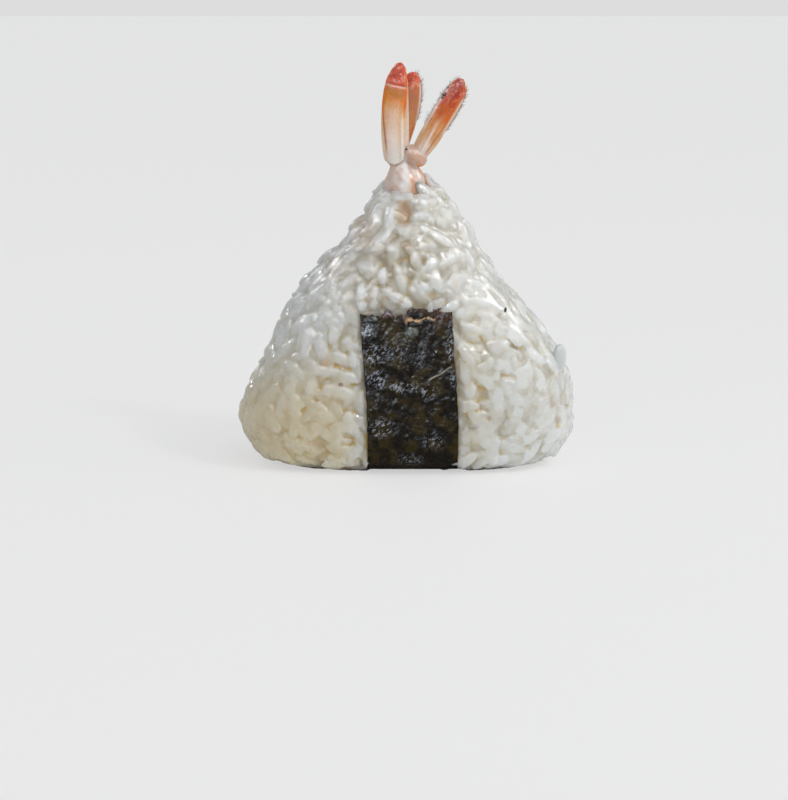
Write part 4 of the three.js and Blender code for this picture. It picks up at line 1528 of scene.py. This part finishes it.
@dataclass
class NoriStrip:
    """The strip of nori: torn at its front end, down under the foot and up the back."""

    form: RiceForm
    width: float = 21.8
    thickness: float = 0.22
    gap: float = 0.3
    front_top: float = 40.3
    back_top: float = 34.0
    middle_top: float = -0.4
    middle_foot: float = 1.2
    step: float = 0.23
    wrinkle_lean: float = 0.25
    # The torn end: places across from -1 to 1, and how far below the top it lies there.
    tear: tuple[Row, ...] = (
        (-1.0, 1.4), (-0.55, 1.7), (-0.5, 1.5), (-0.46, 0.4), (-0.33, 0.2), (-0.29, 1.3), (-0.24, 2.1),
        (-0.18, 1.3), (-0.1, 1.1), (-0.06, 2.4), (-0.02, 2.9), (0.02, 0.5), (0.12, 0.0), (0.8, 0.2),
        (1.0, 1.0),
    )
    crack_from: float = -0.8
    crack_to: float = 6.4
    crack_below: float = 2.7
    crack_rise: float = 0.6
    crack_width: float = 0.55
    # The patches of painted glints and lower roughness on the front: x, z, half width, half height and
    # strength.
    glint_patches: tuple[Row, ...] = (
        (-9.8, 35.4, 1.4, 1.9, 1.0), (-8.4, 29.5, 2.2, 2.4, 0.9), (-7.3, 23.7, 2.4, 2.3, 0.9),
        (-0.8, 21.9, 3.6, 1.3, 0.8), (5.0, 21.0, 1.8, 1.6, 1.0), (10.0, 31.3, 0.9, 3.0, 1.0),
        (-3.4, 30.4, 3.0, 2.2, 0.45), (10.7, 23.7, 0.7, 1.6, 0.8), (3.0, 30.0, 2.0, 3.0, 0.3),
        (-6.0, 12.0, 3.0, 2.0, 0.7), (6.0, 9.0, 2.5, 2.0, 0.6), (0.5, 4.0, 3.0, 1.5, 0.5),
    )
    straw_line: tuple[Row, Row] = ((4.8, 23.6), (10.4, 26.8))
    flake_at: Row = (0.8, 35.0)
    flake_size: Row = (1.7, 1.2)

    def middle(self, z: Array) -> Array:
        """Where the strip's middle lies across, at each height."""
        return self.middle_foot + (self.middle_top - self.middle_foot) * ease(z, 12.0, self.front_top)

    def covers(self, points: Array, margin: float) -> Array:
        """Whether each point lies under the strip, grown by margin."""
        x, y, z = points.T
        top = np.where(y < 0, self.front_top - 1.4, self.back_top)
        return (z < top + margin) & (np.abs(x - self.middle(z)) < self.width / 2 + margin)

    def line(self) -> tuple[Array, Array]:
        """The strip's way down the front, under the foot and up the back.

        Returns:
            Places with y and z, one a row, and the length of the way to each.
        """
        f = self.form
        down = np.linspace(self.front_top, f.bottom, 200)
        up = np.linspace(f.bottom, self.back_top, 200)
        foot = np.linspace(-0.95, 0.95, 40) * f.half_depths[0]
        y = np.concatenate([-f.level(down)[2], foot, f.level(up)[2]])
        z = np.concatenate([down, np.full(40, f.bottom), up])
        length = np.concatenate([[0.0], np.cumsum(np.hypot(np.diff(y), np.diff(z)))])
        return np.stack([y, z], axis=1), length

    def relief(self, s: Array, along: Array, z: Array) -> Array:
        """How far the strip stands off the rice: slow waves, lifted edges and fine wrinkles.

        Args:
            s: places across, from -1 to 1.
            along: millimetres along the strip.
            z: heights.

        Returns:
            Millimetres.
        """
        x, lean = s * self.width / 2, self.wrinkle_lean
        spot = xyz(x + lean * along, 0.8 * (along - lean * x), 0.0).reshape(-1, 3)
        free = ease(z, self.form.bottom, 9.0)
        wave = 0.12 + 0.12 * np.sin(2 * np.pi * z / 20 + 3 * s)
        edge = 0.12 * s * s * np.sin(2 * np.pi * z / 12 + 1.7)
        tall = 1.0 - 2.2 * np.abs(noise(spot, 4.6, 5)).reshape(s.shape)
        sharp = 1.0 - 2.2 * np.abs(noise(spot + 40.0, 2.4, 7)).reshape(s.shape)
        small = 1.0 - 2.2 * np.abs(noise(spot + 80.0, 1.3, 8)).reshape(s.shape)
        crumple = 0.20 * tall + 0.20 * sharp + 0.17 * small + 0.10 * noise(spot, 0.8, 9).reshape(s.shape)
        return np.maximum(wave + edge + crumple + 0.25, 0.0) * free

    def build(self) -> Thing:
        """Makes the strip as a thin wrinkled sheet.

        Returns:
            The object.
        """
        line, length = self.line()
        rows, columns = (int(way / self.step) + 1 for way in (length[-1], self.width))
        s = np.linspace(-1.0, 1.0, columns)
        places, depths = np.array(self.tear).T
        fringe = xyz(s * self.width / 2, 0.0, 0.0)
        torn = np.interp(s, places, depths) + 0.28 * noise(fringe, 0.9, 3, 3)
        share = np.linspace(0.0, 1.0, rows)[:, None]
        along = torn * (1 - share) + length[-1] * share
        s = np.broadcast_to(s, along.shape)
        y = np.interp(along, length, line[:, 0])
        z = np.maximum(np.interp(along, length, line[:, 1]), self.form.bottom)
        ragged = xyz(0.0, along, np.sign(s)).reshape(-1, 3)
        nibbles = (np.abs(s) > 0.93) * (1 + noise(ragged, 1.6, 8, 2).reshape(along.shape))
        x = self.middle(z) + s * (1.0 - 0.012 * nibbles) * self.width / 2
        y = np.sign(y) * np.minimum(np.abs(y), self.form.depth_at(x, z))
        base = xyz(x, y, z).reshape(-1, 3)
        under = (z.ravel() < self.form.bottom + 0.05)[:, None]
        normal = np.where(under, np.array([0.0, 0.0, -1.0]), self.form.normal(base))
        lift = self.gap + self.thickness + self.relief(s, along, z)
        points = base + normal * lift.reshape(-1, 1)
        sheet = make_object("nori_sheet", points, grid_faces(rows, columns)[:, ::-1])
        self.mark(sheet, points, s, along, along - torn)
        apply_modifier(sheet, "SOLIDIFY", thickness=self.thickness * MM, offset=-1.0)
        return sheet

    def mark(self, sheet: Thing, points: Array, s: Array, along: Array, below: Array) -> None:
        """Marks the parts of the sheet that have colours of their own.

        Args:
            sheet: the sheet while it is thin.
            points: its places, one a row.
            s: places across, from -1 to 1.
            along: millimetres along the strip.
            below: millimetres from the torn end.
        """
        torn = (1.0 - ease(below, 0.0, 1.6)) * ease(s, -0.6, -0.45)
        corner = ease(s, 0.3, 0.9) * (1.0 - ease(along, 1.5, 5.0))
        tuft = (1.0 - ease(np.abs(s + 0.4), 0.09, 0.13)) * (1.0 - ease(along, 1.6, 2.4))
        off = from_patch(points, *self.flake_at, *self.flake_size) + 0.35 * noise(points, 1.1, 14, 2)
        set_values(sheet, "torn", np.clip(torn * 0.8 + corner, 0, 1).ravel())
        set_values(sheet, "tuft", tuft.ravel() * ease(noise(points, 0.6, 16, 2), -0.4, 0.2))
        set_values(sheet, "flake", (1.0 - ease(off, 0.8, 1.0)) * (points[:, 1] < 0))
        set_values(sheet, "frayed", self.in_crack(points, 0.05 + 0.2 * noise(points, 0.7, 6, 2)))
        set_values(sheet, "straw", self.straw(points))
        set_values(sheet, "glint_share", self.glint_share(points))

    def straw(self, points: Array) -> Array:
        """Where a pale broken fibre crosses the sheet's front."""
        (x0, z0), (x1, z1) = self.straw_line
        share = (points[:, 0] - x0) / (x1 - x0)
        off = points[:, 2] - (z0 + (z1 - z0) * share + 0.1 * np.sin(9.0 * share))
        return bell(off, 0.0, 0.14) * (share > 0) * (share < 1) * (points[:, 1] < 0)

    def glint_share(self, points: Array) -> Array:
        """Where the sheet has painted glints and lower roughness: in set patches on its front, and in waves
        on its back.
        """
        share = 0.35 * ease(noise(points, 5.0, 17), 0.0, 0.6) * (points[:, 1] > 0)
        for x, z, wide, tall, strength in self.glint_patches:
            patch = np.exp(-(from_patch(points, x, z, wide, tall) ** 1.5))
            share = np.maximum(share, strength * patch * (points[:, 1] < 0))
        return share

    def in_crack(self, points: Array, margin: Array) -> Array:
        """Whether each point lies in the crack under the torn corner, grown by margin."""
        share = (points[:, 0] - self.crack_from) / (self.crack_to - self.crack_from)
        middle = self.front_top - self.crack_below + self.crack_rise * share + 0.25 * np.sin(11.0 * share)
        half = self.crack_width / 2 * (1.2 - share) + margin
        inside = (share > 0) & (share < 1) & (points[:, 1] < 0)
        return inside & (np.abs(points[:, 2] - middle) < half)

    def dress(self, piece: Thing) -> None:
        """Gives the sheet its finish and its place in the frame."""
        NoriFinish().dress(piece)
        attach(piece, BODY)
        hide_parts("nori")


# ---- the prawn's tail


@dataclass(frozen=True)
class Blade:
    """One blade of the tail: its middle line, half its width, the way its face turns and its colours.

    Its ridge, fringes and dark lines lie at places across from -1 to 1, its other places at shares along it.
    """

    node: str
    line: tuple[Point, Point, Point]
    half_width: float
    turn: float
    ridge_at: float
    stops: tuple[tuple[float, Colour], ...]
    root_share: float = 0.6
    suture: bool = False
    fringe: tuple[int, ...] = (1,)
    pale_to: float = 0.55
    lines: tuple[int, ...] = (-1, 1)
    widest: float = 0.32
    roundness: float = 2.4


@dataclass
class PrawnTail:
    """The last segment of a cooked prawn, the knuckles on it and the tail's blades."""

    heights: Row = (54.0, 57.0, 61.0, 64.5, 67.2, 69.8, 72.2, 74.6)
    middles: Row = (-0.6, -0.7, -0.8, -0.8, -0.7, -0.5, -0.8, -0.9)
    half_widths: Row = (4.8, 5.8, 6.1, 5.8, 5.3, 4.6, 3.4, 2.3)
    depth_share: float = 0.86
    ridge_at: float = 0.02
    voxel: float = 0.24
    knuckle_from: Row = (72.4, 73.4)
    # The knuckles: middle, half sizes and lean in radians.
    knuckles: tuple[tuple[Point, Point, float], ...] = (
        ((-3.2, -0.2, 75.2), (2.5, 2.2, 3.0), 0.05),
        ((1.8, -1.5, 74.9), (3.2, 2.5, 2.45), 0.6),
    )
    blades: tuple[Blade, ...] = (
        Blade(
            "tail_blade_left_outer", ((-3.0, -1.8, 73.0), (-3.4, -2.4, 85.5), (-1.7, -1.8, 97.1)),
            2.9, -0.15, 0.78,
            ((0.0, (0.88, 0.72, 0.58)), (0.3, (0.88, 0.60, 0.38)), (0.5, (0.88, 0.44, 0.12)),
             (0.62, (0.84, 0.28, 0.02)), (0.72, (0.60, 0.25, 0.08)), (0.757, (0.68, 0.18, 0.05)),
             (0.785, (0.76, 0.11, 0.04)), (1.0, (0.66, 0.05, 0.02))),
            root_share=0.86, suture=True, fringe=(), pale_to=0.68, lines=(-1,), roundness=2.0,
        ),
        Blade(
            "tail_blade_left_inner", ((-1.7, 2.8, 74.2), (0.5, 2.7, 85.0), (1.0, 2.2, 94.6)),
            2.5, 0.2, -0.6,
            ((0.0, (0.74, 0.48, 0.32)), (0.3, (0.82, 0.36, 0.10)), (0.5, (0.60, 0.30, 0.14)),
             (0.72, (0.56, 0.25, 0.13)), (0.85, (0.74, 0.15, 0.05)), (1.0, (0.72, 0.07, 0.03))),
            root_share=0.35, pale_to=0.2, widest=0.8,
        ),
        Blade(
            "tail_blade_right_inner", ((1.5, -1.8, 73.2), (7.0, -2.3, 83.2), (13.0, -1.7, 93.2)),
            2.35, 0.15, 0.0,
            ((0.0, (0.74, 0.47, 0.30)), (0.3, (0.74, 0.44, 0.22)), (0.45, (0.74, 0.31, 0.07)),
             (0.58, (0.66, 0.15, 0.01)), (0.74, (0.56, 0.06, 0.008)), (0.84, (0.44, 0.025, 0.015)),
             (1.0, (0.40, 0.02, 0.012))),
            root_share=0.7, fringe=(-1,), pale_to=0.35, lines=(1,),
        ),
        Blade(
            "tail_blade_right_outer", ((2.5, 2.8, 73.8), (8.1, 2.5, 83.0), (13.3, 1.9, 91.6)),
            2.3, -0.1, 0.3,
            ((0.0, (0.76, 0.50, 0.36)), (0.4, (0.78, 0.45, 0.24)), (0.65, (0.76, 0.26, 0.07)),
             (1.0, (0.68, 0.06, 0.04))),
            fringe=(-1, 1), pale_to=0.3,
        ),
    )
    blade_thickness: float = 0.7
    cup: float = 0.7
    round_from: float = 0.62
    suture_at: float = 0.757
    suture_lean: float = 0.006
    spine_root: Point = (-0.9, -0.6, 75.2)
    spine_tip: Point = (-0.1, -0.6, 93.0)
    bristle_length: float = 1.2
    bristle_half_width: float = 0.16
    # The dark granules: those that stick to the blades, and the last one, put in the gap between the blades
    # at the knuckle as painted shade; the place and size of each.
    dirt_and_shade: tuple[Row, ...] = (
        (8.2, -2.9, 88.9, 0.22), (8.6, -3.0, 89.5, 0.3), (8.9, -2.9, 90.0, 0.2), (8.4, -3.1, 89.9, 0.16),
        (9.6, -2.7, 91.2, 0.13), (-0.3, -2.9, 76.6, 0.26),
    )

    def section(self, z: Array) -> tuple[Array, Array]:
        """The segment's middle and half width at each height."""
        middle = curve_through(self.heights, self.middles)(z)
        return middle, curve_through(self.heights, self.half_widths)(z)

    def covers(self, points: Array, margin: float) -> Array:
        """Whether each point lies in the segment, grown by margin."""
        middle, half = self.section(points[:, 2])
        away = np.hypot(points[:, 0] - middle, points[:, 1] / self.depth_share)
        return (points[:, 2] > self.heights[0]) & (away < half + margin)

    def build_body(self) -> Thing:
        """Makes the segment with its two knuckles as one smooth skin.

        Returns:
            The object.
        """
        z = np.linspace(self.heights[0] - 0.5, self.heights[-1] + 0.4, 60)[:, None]
        a = circle(96)
        middle, half = self.section(z)
        ridge = 0.09 * bell(np.cos(a), self.ridge_at, 0.26) - 0.07 * bell(np.cos(a), 0.42, 0.1)
        pleat = 1.0 + ridge * ease(-z, -74.0, -71.0)
        x = middle + half * pleat * np.cos(a)
        y = self.depth_share * half * pleat * np.sin(a)
        parts = [capped_rings(xyz(x, y, z))]
        round_points, round_faces = ball(20, 28)
        for at, size, lean in self.knuckles:
            parts.append(((round_points * np.array(size)) @ leaning(lean) + np.array(at), round_faces))
        body = make_object("prawn_body_skin", *as_one(*parts))
        apply_modifier(body, "REMESH", mode="VOXEL", voxel_size=self.voxel * MM)
        move_points(body, relaxed(points_of(body), edges_of(body), 6, 0.5))
        points = points_of(body)
        points = points + normals_of(body) * (0.10 * noise(points, 1.5, 31, 2))[:, None]
        move_points(body, points)
        self.mark_body(body, points)
        return body

    def mark_body(self, body: Thing, points: Array) -> None:
        """Marks the segment's rim, ridge and band, and its knuckles.

        Args:
            body: the segment.
            points: its places, one a row.
        """
        x, _, z = points.T
        middle, half = self.section(z)
        wobble = 0.08 * noise(points, 2.0, 44, 2)
        aside = (x - middle) / half
        low = 1 - ease(z, *self.knuckle_from)
        rim = ease(aside + wobble, 0.84, 0.97) * ease(z, 62.0, 67.0)
        rim = rim + 0.7 * ease(wobble - aside, 0.88, 0.99) * ease(z, 68.0, 71.5)
        white = bell(aside + wobble, self.ridge_at, 0.24) * ease(z, 58.0, 64.0)
        band = bell(aside + wobble, 0.36, 0.09) * (1 - ease(z, 69.0, 71.5))
        tag = np.exp(-from_patch(points, -0.7, 74.0, 0.5, 1.6))
        blotch = ease(noise(points, 1.5, 51, 2), 0.1, 0.7)
        set_values(body, "rim", rim * low)
        set_values(body, "white", np.clip(0.85 * white * low + tag + 0.4 * blotch * (1 - low), 0, 1))
        set_values(body, "band", 0.85 * band * low)
        set_values(body, "knuckle", 1 - low)

    def blade_frame(self, blade: Blade, t: Array) -> tuple[Array, Array, Array]:
        """Where a blade lies at each share along it.

        Args:
            blade: which blade.
            t: shares along it.

        Returns:
            Its middle line, the way across it and the way that its face looks.
        """
        middle = bezier(blade.line, t)
        along = unit(np.gradient(middle, axis=0))
        front = np.array([np.sin(blade.turn), -np.cos(blade.turn), 0.0])
        across = unit(np.cross(along, front))
        return middle, across, unit(np.cross(across, along))

    def blade_half_width(self, blade: Blade, t: Array) -> Array:
        """Half of a blade's width at each share along it."""
        swell = np.sin(np.minimum(t / blade.widest, 1.0) * np.pi / 2)
        to_tip = np.maximum(t - self.round_from, 0.0) / (1.0 - self.round_from)
        tip = (1.0 - to_tip**blade.roundness) ** (1.0 / blade.roundness)
        from_root = np.clip(t / 0.06, 0.0, 1.0)
        heel = np.sqrt(from_root * (2.0 - from_root))
        whole = blade.half_width * (blade.root_share + (1 - blade.root_share) * swell)
        return whole * np.maximum(tip * heel, 0.06)

    def build_blade(self, blade: Blade) -> Thing:
        """Makes one cupped, ridged blade of shell.

        Args:
            blade: which blade.

        Returns:
            The object.
        """
        t = 1.0 - (1.0 - np.linspace(0.0, 1.0, 110)) ** 1.3
        a = circle(68)
        middle, across, facing = (way[:, None, :] for way in self.blade_frame(blade, t))
        half = self.blade_half_width(blade, t)[:, None]
        t, s = np.broadcast_arrays(t[:, None], np.cos(a))
        spot = xyz(s * half, t * 22, np.sign(np.sin(a)))
        grain = noise(spot.reshape(-1, 3), 1.3, 12, 3).reshape(t.shape)
        edge_wave = 1.0 + (0.03 + 0.05 * ease(t, 0.8, 0.95)) * grain * ease(t, 0.5, 0.9)
        thick = self.blade_thickness * (1.25 - 0.5 * t) * (1.0 - 0.6 * np.abs(s) ** 3)
        relief = 0.42 * bell(s, blade.ridge_at, 0.16) * (1 - t) ** 0.5 + 0.16 * bell(s, -0.55, 0.2) * (1 - t)
        if blade.suture:
            cut = t - self.suture_at + self.suture_lean * s
            relief = relief - 0.22 * bell(cut, 0.0, 0.012) + 0.12 * bell(cut, 0.03, 0.02)
        lift = self.cup * (1 - s * s) + np.sin(a) * thick / 2 + (np.sin(a) > 0) * relief + 0.05 * grain
        points = middle + across * (s * half * edge_wave)[..., None] + facing * lift[..., None]
        flat, faces = capped_rings(points)
        made = make_object(blade.node + "_shell", flat, [face[::-1] for face in faces])
        self.mark_blade(made, blade, t, s, grain)
        return made

    def mark_blade(self, made: Thing, blade: Blade, t: Array, s: Array, grain: Array) -> None:
        """Marks a blade's dark lines and edges, its pale middle and fringes, a painted highlight along its
        ridge, and its suture.

        Args:
            made: the blade's object.
            blade: which blade.
            t: shares along it.
            s: places across it, from -1 to 1.
            grain: the unevenness of its skin.
        """
        line_at = 0.90 - 0.30 * (1.0 - ease(t, 0.15, 0.6))
        line = bell(np.abs(s) + 0.03 * grain, line_at, 0.07) * ease(t, 0.08, 0.2)
        line = line * np.isin(np.sign(s), blade.lines)
        rim = ease(np.abs(s) + 0.05 * grain, 0.72, 0.95) * ease(t, 0.4, 0.6)
        dark = np.maximum(line, rim)
        # A pale line along the ridge in the blade's lower part: painted highlight.
        crest = 0.9 * bell(s, blade.ridge_at, 0.12) * (1 - ease(t, 0.3, 0.62))
        fade = 1.0 - ease(t + 0.06 * grain, blade.pale_to - 0.2, blade.pale_to)
        broad = (0.45 + 0.45 * (1.0 - ease(t, 0.1, 0.45))) * bell(s, 0.0, 0.62) * fade
        pale = np.maximum(crest, broad)
        for side in blade.fringe:
            margin = ease(side * s + 0.04 * grain, 0.70, 0.8) * ease(t, 0.3, 0.42)
            margin = margin * (1.0 - ease(t, 0.8, 0.92))
            dark = dark * (1.0 - margin)
            pale = np.maximum(pale, 0.6 * margin)
        if blade.suture:
            pale = np.maximum(pale, bell(t + self.suture_lean * s, self.suture_at, 0.005))
        set_values(made, "along", t.ravel())
        set_values(made, "across", s.ravel())
        set_values(made, "edge", (0.85 * dark).ravel())
        set_values(made, "white", np.clip(pale, 0, 1).ravel())

    def build_spine(self) -> Thing:
        """Makes the pointed middle spine.

        Returns:
            The object.
        """
        root, tip = np.array(self.spine_root), np.array(self.spine_tip)
        t = np.linspace(0.0, 1.0, 40)[:, None]
        a = circle(20)
        size = 1.0 - 0.93 * t**1.4
        x = 1.15 * size * np.cos(a)
        y = 0.55 * size * np.sin(a) * (1 - 0.25 * np.cos(2 * a))
        points = (root + (tip - root) * t)[:, None, :] + xyz(x, y, 0.0)
        made = make_object("tail_spine_shell", *capped_rings(points))
        t, s = (row.ravel() for row in np.broadcast_arrays(t, np.cos(a)))
        set_values(made, "along", 0.15 + 0.5 * t)
        set_values(made, "across", s)
        set_values(made, "edge", np.zeros(len(t)))
        set_values(made, "white", 0.9 - 0.6 * t)
        return made

    def build_bristles(self) -> Thing:
        """Makes the fringe of fine bristles on the blades' free edges.

        Returns:
            The object.
        """
        random = np.random.default_rng(9)
        points, faces = [], []
        for blade in self.blades:
            for side in blade.fringe:
                t = np.linspace(0.42, 0.985, 40)
                middle, across, _ = self.blade_frame(blade, t)
                half = self.blade_half_width(blade, t)
                up = unit(np.gradient(middle, axis=0))
                root = middle + across * (side * 0.97 * half)[:, None]
                splay = np.where(t > 0.9, 0.35, 1.0)[:, None] * random.uniform(0.5, 1.1, (len(t), 1))
                way = unit(up + side * across * splay + 0.25 * random.normal(size=(len(t), 3)))
                length = self.bristle_length * random.uniform(0.6, 1.25, len(t))
                for spot, direction, reach in zip(root, way, length):
                    start = len(points)
                    aside = unit(np.cross(direction, np.array([0.0, 1.0, 0.0]))) * self.bristle_half_width
                    depth = np.array([0.0, self.bristle_half_width, 0.0])
                    points += [spot + aside, spot - aside + depth, spot - depth, spot + direction * reach]
                    faces += [[start, start + 1, start + 2], [start, start + 3, start + 1],
                              [start + 1, start + 3, start + 2], [start + 2, start + 3, start]]
        return make_object("tail_bristles", np.array(points), faces)

    def build_dirt_and_shade(self) -> Thing:
        """Makes the few dark granules that stick to the blades, and one between them at the knuckle that is
        painted shade.
        """
        round_points, round_faces = ball(8, 10)
        grains = []
        for i, (x, y, z, size) in enumerate(self.dirt_and_shade):
            lumpy = round_points * (1.0 + 0.5 * noise(round_points + 5.0 * i, 0.8, 61))[:, None]
            grains.append((size * lumpy + np.array([x, y, z]), round_faces))
        return make_object("tail_dirt_and_shade", *as_one(*grains))

    def build(self) -> list[Thing]:
        """Makes every piece of the tail and dresses it.

        Returns:
            The segment, the spine, the blades, the bristles and the dark granules.
        """
        body = self.build_body()
        FleshFinish().dress(body)
        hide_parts("prawn_body")
        spine = self.build_spine()
        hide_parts("tail_spine")
        ShellFinish(stops=self.blades[0].stops).dress(spine)
        shells = [spine]
        for blade in self.blades:
            made = self.build_blade(blade)
            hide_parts(blade.node)
            ShellFinish(name=blade.node + "_shell", stops=blade.stops).dress(made)
            shells.append(made)
        bristles, dirt_and_shade = self.build_bristles(), self.build_dirt_and_shade()
        SpeckFinish("bristle", {"Roughness": 0.5}, (0.90, 0.87, 0.86), (0.62, 0.50, 0.45)).dress(bristles)
        SpeckFinish("dark_dirt_and_shade", {"Roughness": 0.6}, (0.012, 0.012, 0.014), (0.05, 0.04, 0.035)).dress(dirt_and_shade)
        pieces = [body, *shells, bristles, dirt_and_shade]
        for piece in pieces:
            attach(piece, BODY)
        return pieces


# ---- the studio


@dataclass
class Studio:
    """The camera, the soft lights and the pale floor."""

    image_size: tuple[int, int] = (788, 800)
    aim: Point = (-3.3, 0.0, 14.8)
    elevation: float = 12.0
    distance: float = 600.0
    pixels_per_mm: float = 4.08
    sensor: float = 36.0
    floor_side: float = 4000.0
    lit_point: Point = (0.0, 0.0, 0.035)
    room_light: float = 0.42
    backdrop: float = 0.9

    def camera(self) -> None:
        """Places the camera and makes it the scene's own."""
        data = bpy.data.cameras.new("camera")
        data.sensor_width = self.sensor
        data.lens = self.sensor * self.distance * self.pixels_per_mm / max(self.image_size)
        data.clip_start, data.clip_end = 0.01, 20.0
        eye = in_scene("camera", data)
        angle = np.radians(self.elevation)
        aim = Vector(self.aim)
        eye.location = (aim + Vector((0, -np.cos(angle), np.sin(angle))) * self.distance) * MM
        eye.rotation_euler = (aim * MM - eye.location).to_track_quat("-Z", "Y").to_euler()
        bpy.context.scene.camera = eye

    def sun(self, place: Point, spread: float, strength: float, colour: Colour) -> None:
        """Adds a broad even light that shines from a place towards the origin.

        Args:
            place: where it shines from.
            spread: how wide it looks, in degrees.
            strength: how bright it is.
            colour: its tint.
        """
        data = bpy.data.lights.new("day", "SUN")
        data.angle = np.radians(spread)
        data.energy, data.color = strength, colour
        lamp = in_scene("day", data)
        lamp.location = place
        lamp.rotation_euler = (-Vector(place)).to_track_quat("-Z", "Y").to_euler()

    def light(
        self, name: str, place: Point, size: tuple[float, float], watts: float, colour: Colour,
        gloss_only: bool = False, only: Sequence[Thing] = (),
    ) -> None:
        """Places a soft light in metres, turned to the rice's middle.

        Args:
            name: the light's name.
            place: where it hangs.
            size: its width and height.
            watts: its power.
            colour: its tint.
            gloss_only: whether it adds to the gloss alone.
            only: the objects that it lights, or none for all.
        """
        data = bpy.data.lights.new(name, "AREA")
        data.shape, data.size, data.size_y = "RECTANGLE", *size
        data.energy, data.color = watts, colour
        lamp = in_scene(name, data)
        lamp.location = place
        lamp.rotation_euler = (Vector(self.lit_point) - lamp.location).to_track_quat("-Z", "Y").to_euler()
        lamp.visible_diffuse = not gloss_only
        if only:
            lamp.light_linking.receiver_collection = bpy.data.collections.new(name + "_lit")
            for thing in only:
                lamp.light_linking.receiver_collection.objects.link(thing)

    def accents(self, sheet: Thing, tail: Sequence[Thing]) -> None:
        """Adds the sheen on the nori and the glow through the tail."""
        self.light("sheen", (-0.30, -0.45, 0.40), (0.20, 0.20), 11.0, (0.82, 0.90, 1.0), True, [sheet])
        self.light("glow", (-0.20, 0.45, 0.35), (0.30, 0.30), 0.8, (1.0, 0.95, 0.88), only=tail)
        self.light("fill", (-0.20, -0.60, 0.35), (0.20, 0.20), 0.3, (1.0, 0.98, 0.95), only=tail)

    def floor(self) -> None:
        """Lays the pale floor."""
        half = self.floor_side / 2
        corners = np.array([[-half, -half, 0.0], [half, -half, 0.0], [half, half, 0.0], [-half, half, 0.0]])
        floor = make_object("floor", corners, [[0, 1, 2, 3]])
        FloorFinish().dress(floor)

    def build(self) -> None:
        """Sets up everything that isn't the food."""
        self.camera()
        self.floor()
        self.sun((0.70, -0.50, 0.60), 70.0, 0.80, (1.0, 0.985, 0.96))
        self.light("key", (0.42, -0.30, 0.50), (0.07, 0.07), 0.6, (1.0, 0.98, 0.95))
        for name, place, size, watts in (
            ("glint_left", (-0.42, -0.30, 0.45), (0.07, 0.08), 1.2),
            ("glint_rim", (-0.40, 0.30, 0.36), (0.07, 0.08), 0.8),
            ("glint_top", (0.05, -0.22, 0.60), (0.08, 0.08), 1.1),
            ("glint_right", (0.45, 0.05, 0.38), (0.07, 0.08), 1.2),
            ("glint_high", (0.30, -0.40, 0.55), (0.08, 0.08), 1.1),
            ("glint_front", (-0.24, -0.48, 0.48), (0.08, 0.08), 1.8),
            ("glint_near", (0.10, -0.54, 0.44), (0.08, 0.08), 1.6),
        ):
            self.light(name, place, size, watts, (0.92, 0.95, 1.0), gloss_only=True)
        self.surround()
        bpy.context.scene.view_settings.view_transform = "Standard"

    def surround(self) -> None:
        """Sets a dim pale room as light, behind a white backdrop."""
        world = bpy.data.worlds.new("studio")
        bpy.context.scene.world = world
        world.use_nodes = True
        nodes = Nodes(world.node_tree)
        room, paper = nodes.add("ShaderNodeBackground"), nodes.add("ShaderNodeBackground")
        room.inputs["Color"].default_value = (0.95, 0.97, 1.0, 1.0)
        room.inputs["Strength"].default_value = self.room_light
        paper.inputs["Strength"].default_value = self.backdrop
        seen = nodes.add("ShaderNodeMixShader")
        nodes.link(nodes.add("ShaderNodeLightPath").outputs["Is Camera Ray"], seen.inputs["Fac"])
        nodes.link(room.outputs["Background"], seen.inputs[1])
        nodes.link(paper.outputs["Background"], seen.inputs[2])
        nodes.link(seen.outputs["Shader"], nodes.add("ShaderNodeOutputWorld").inputs["Surface"])


def main() -> None:
    """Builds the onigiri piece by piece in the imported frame."""
    logging.basicConfig(level=logging.INFO, format="%(message)s")
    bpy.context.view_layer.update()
    studio = Studio()
    studio.build()
    form = RiceForm()
    nori, tail = NoriStrip(form), PrawnTail()
    rice = RiceHeap(form, in_nori=nori.covers, in_prawn=tail.covers)
    pieces = rice.build()
    rice.dress(pieces)
    sheet = nori.build()
    nori.dress(sheet)
    tail_pieces = tail.build()
    studio.accents(sheet, tail_pieces)
    pieces += [sheet, *tail_pieces]
    for piece in pieces:
        log.info("%s: %d faces", piece.name, len(piece.data.polygons))


if __name__ == "__main__":
    main()
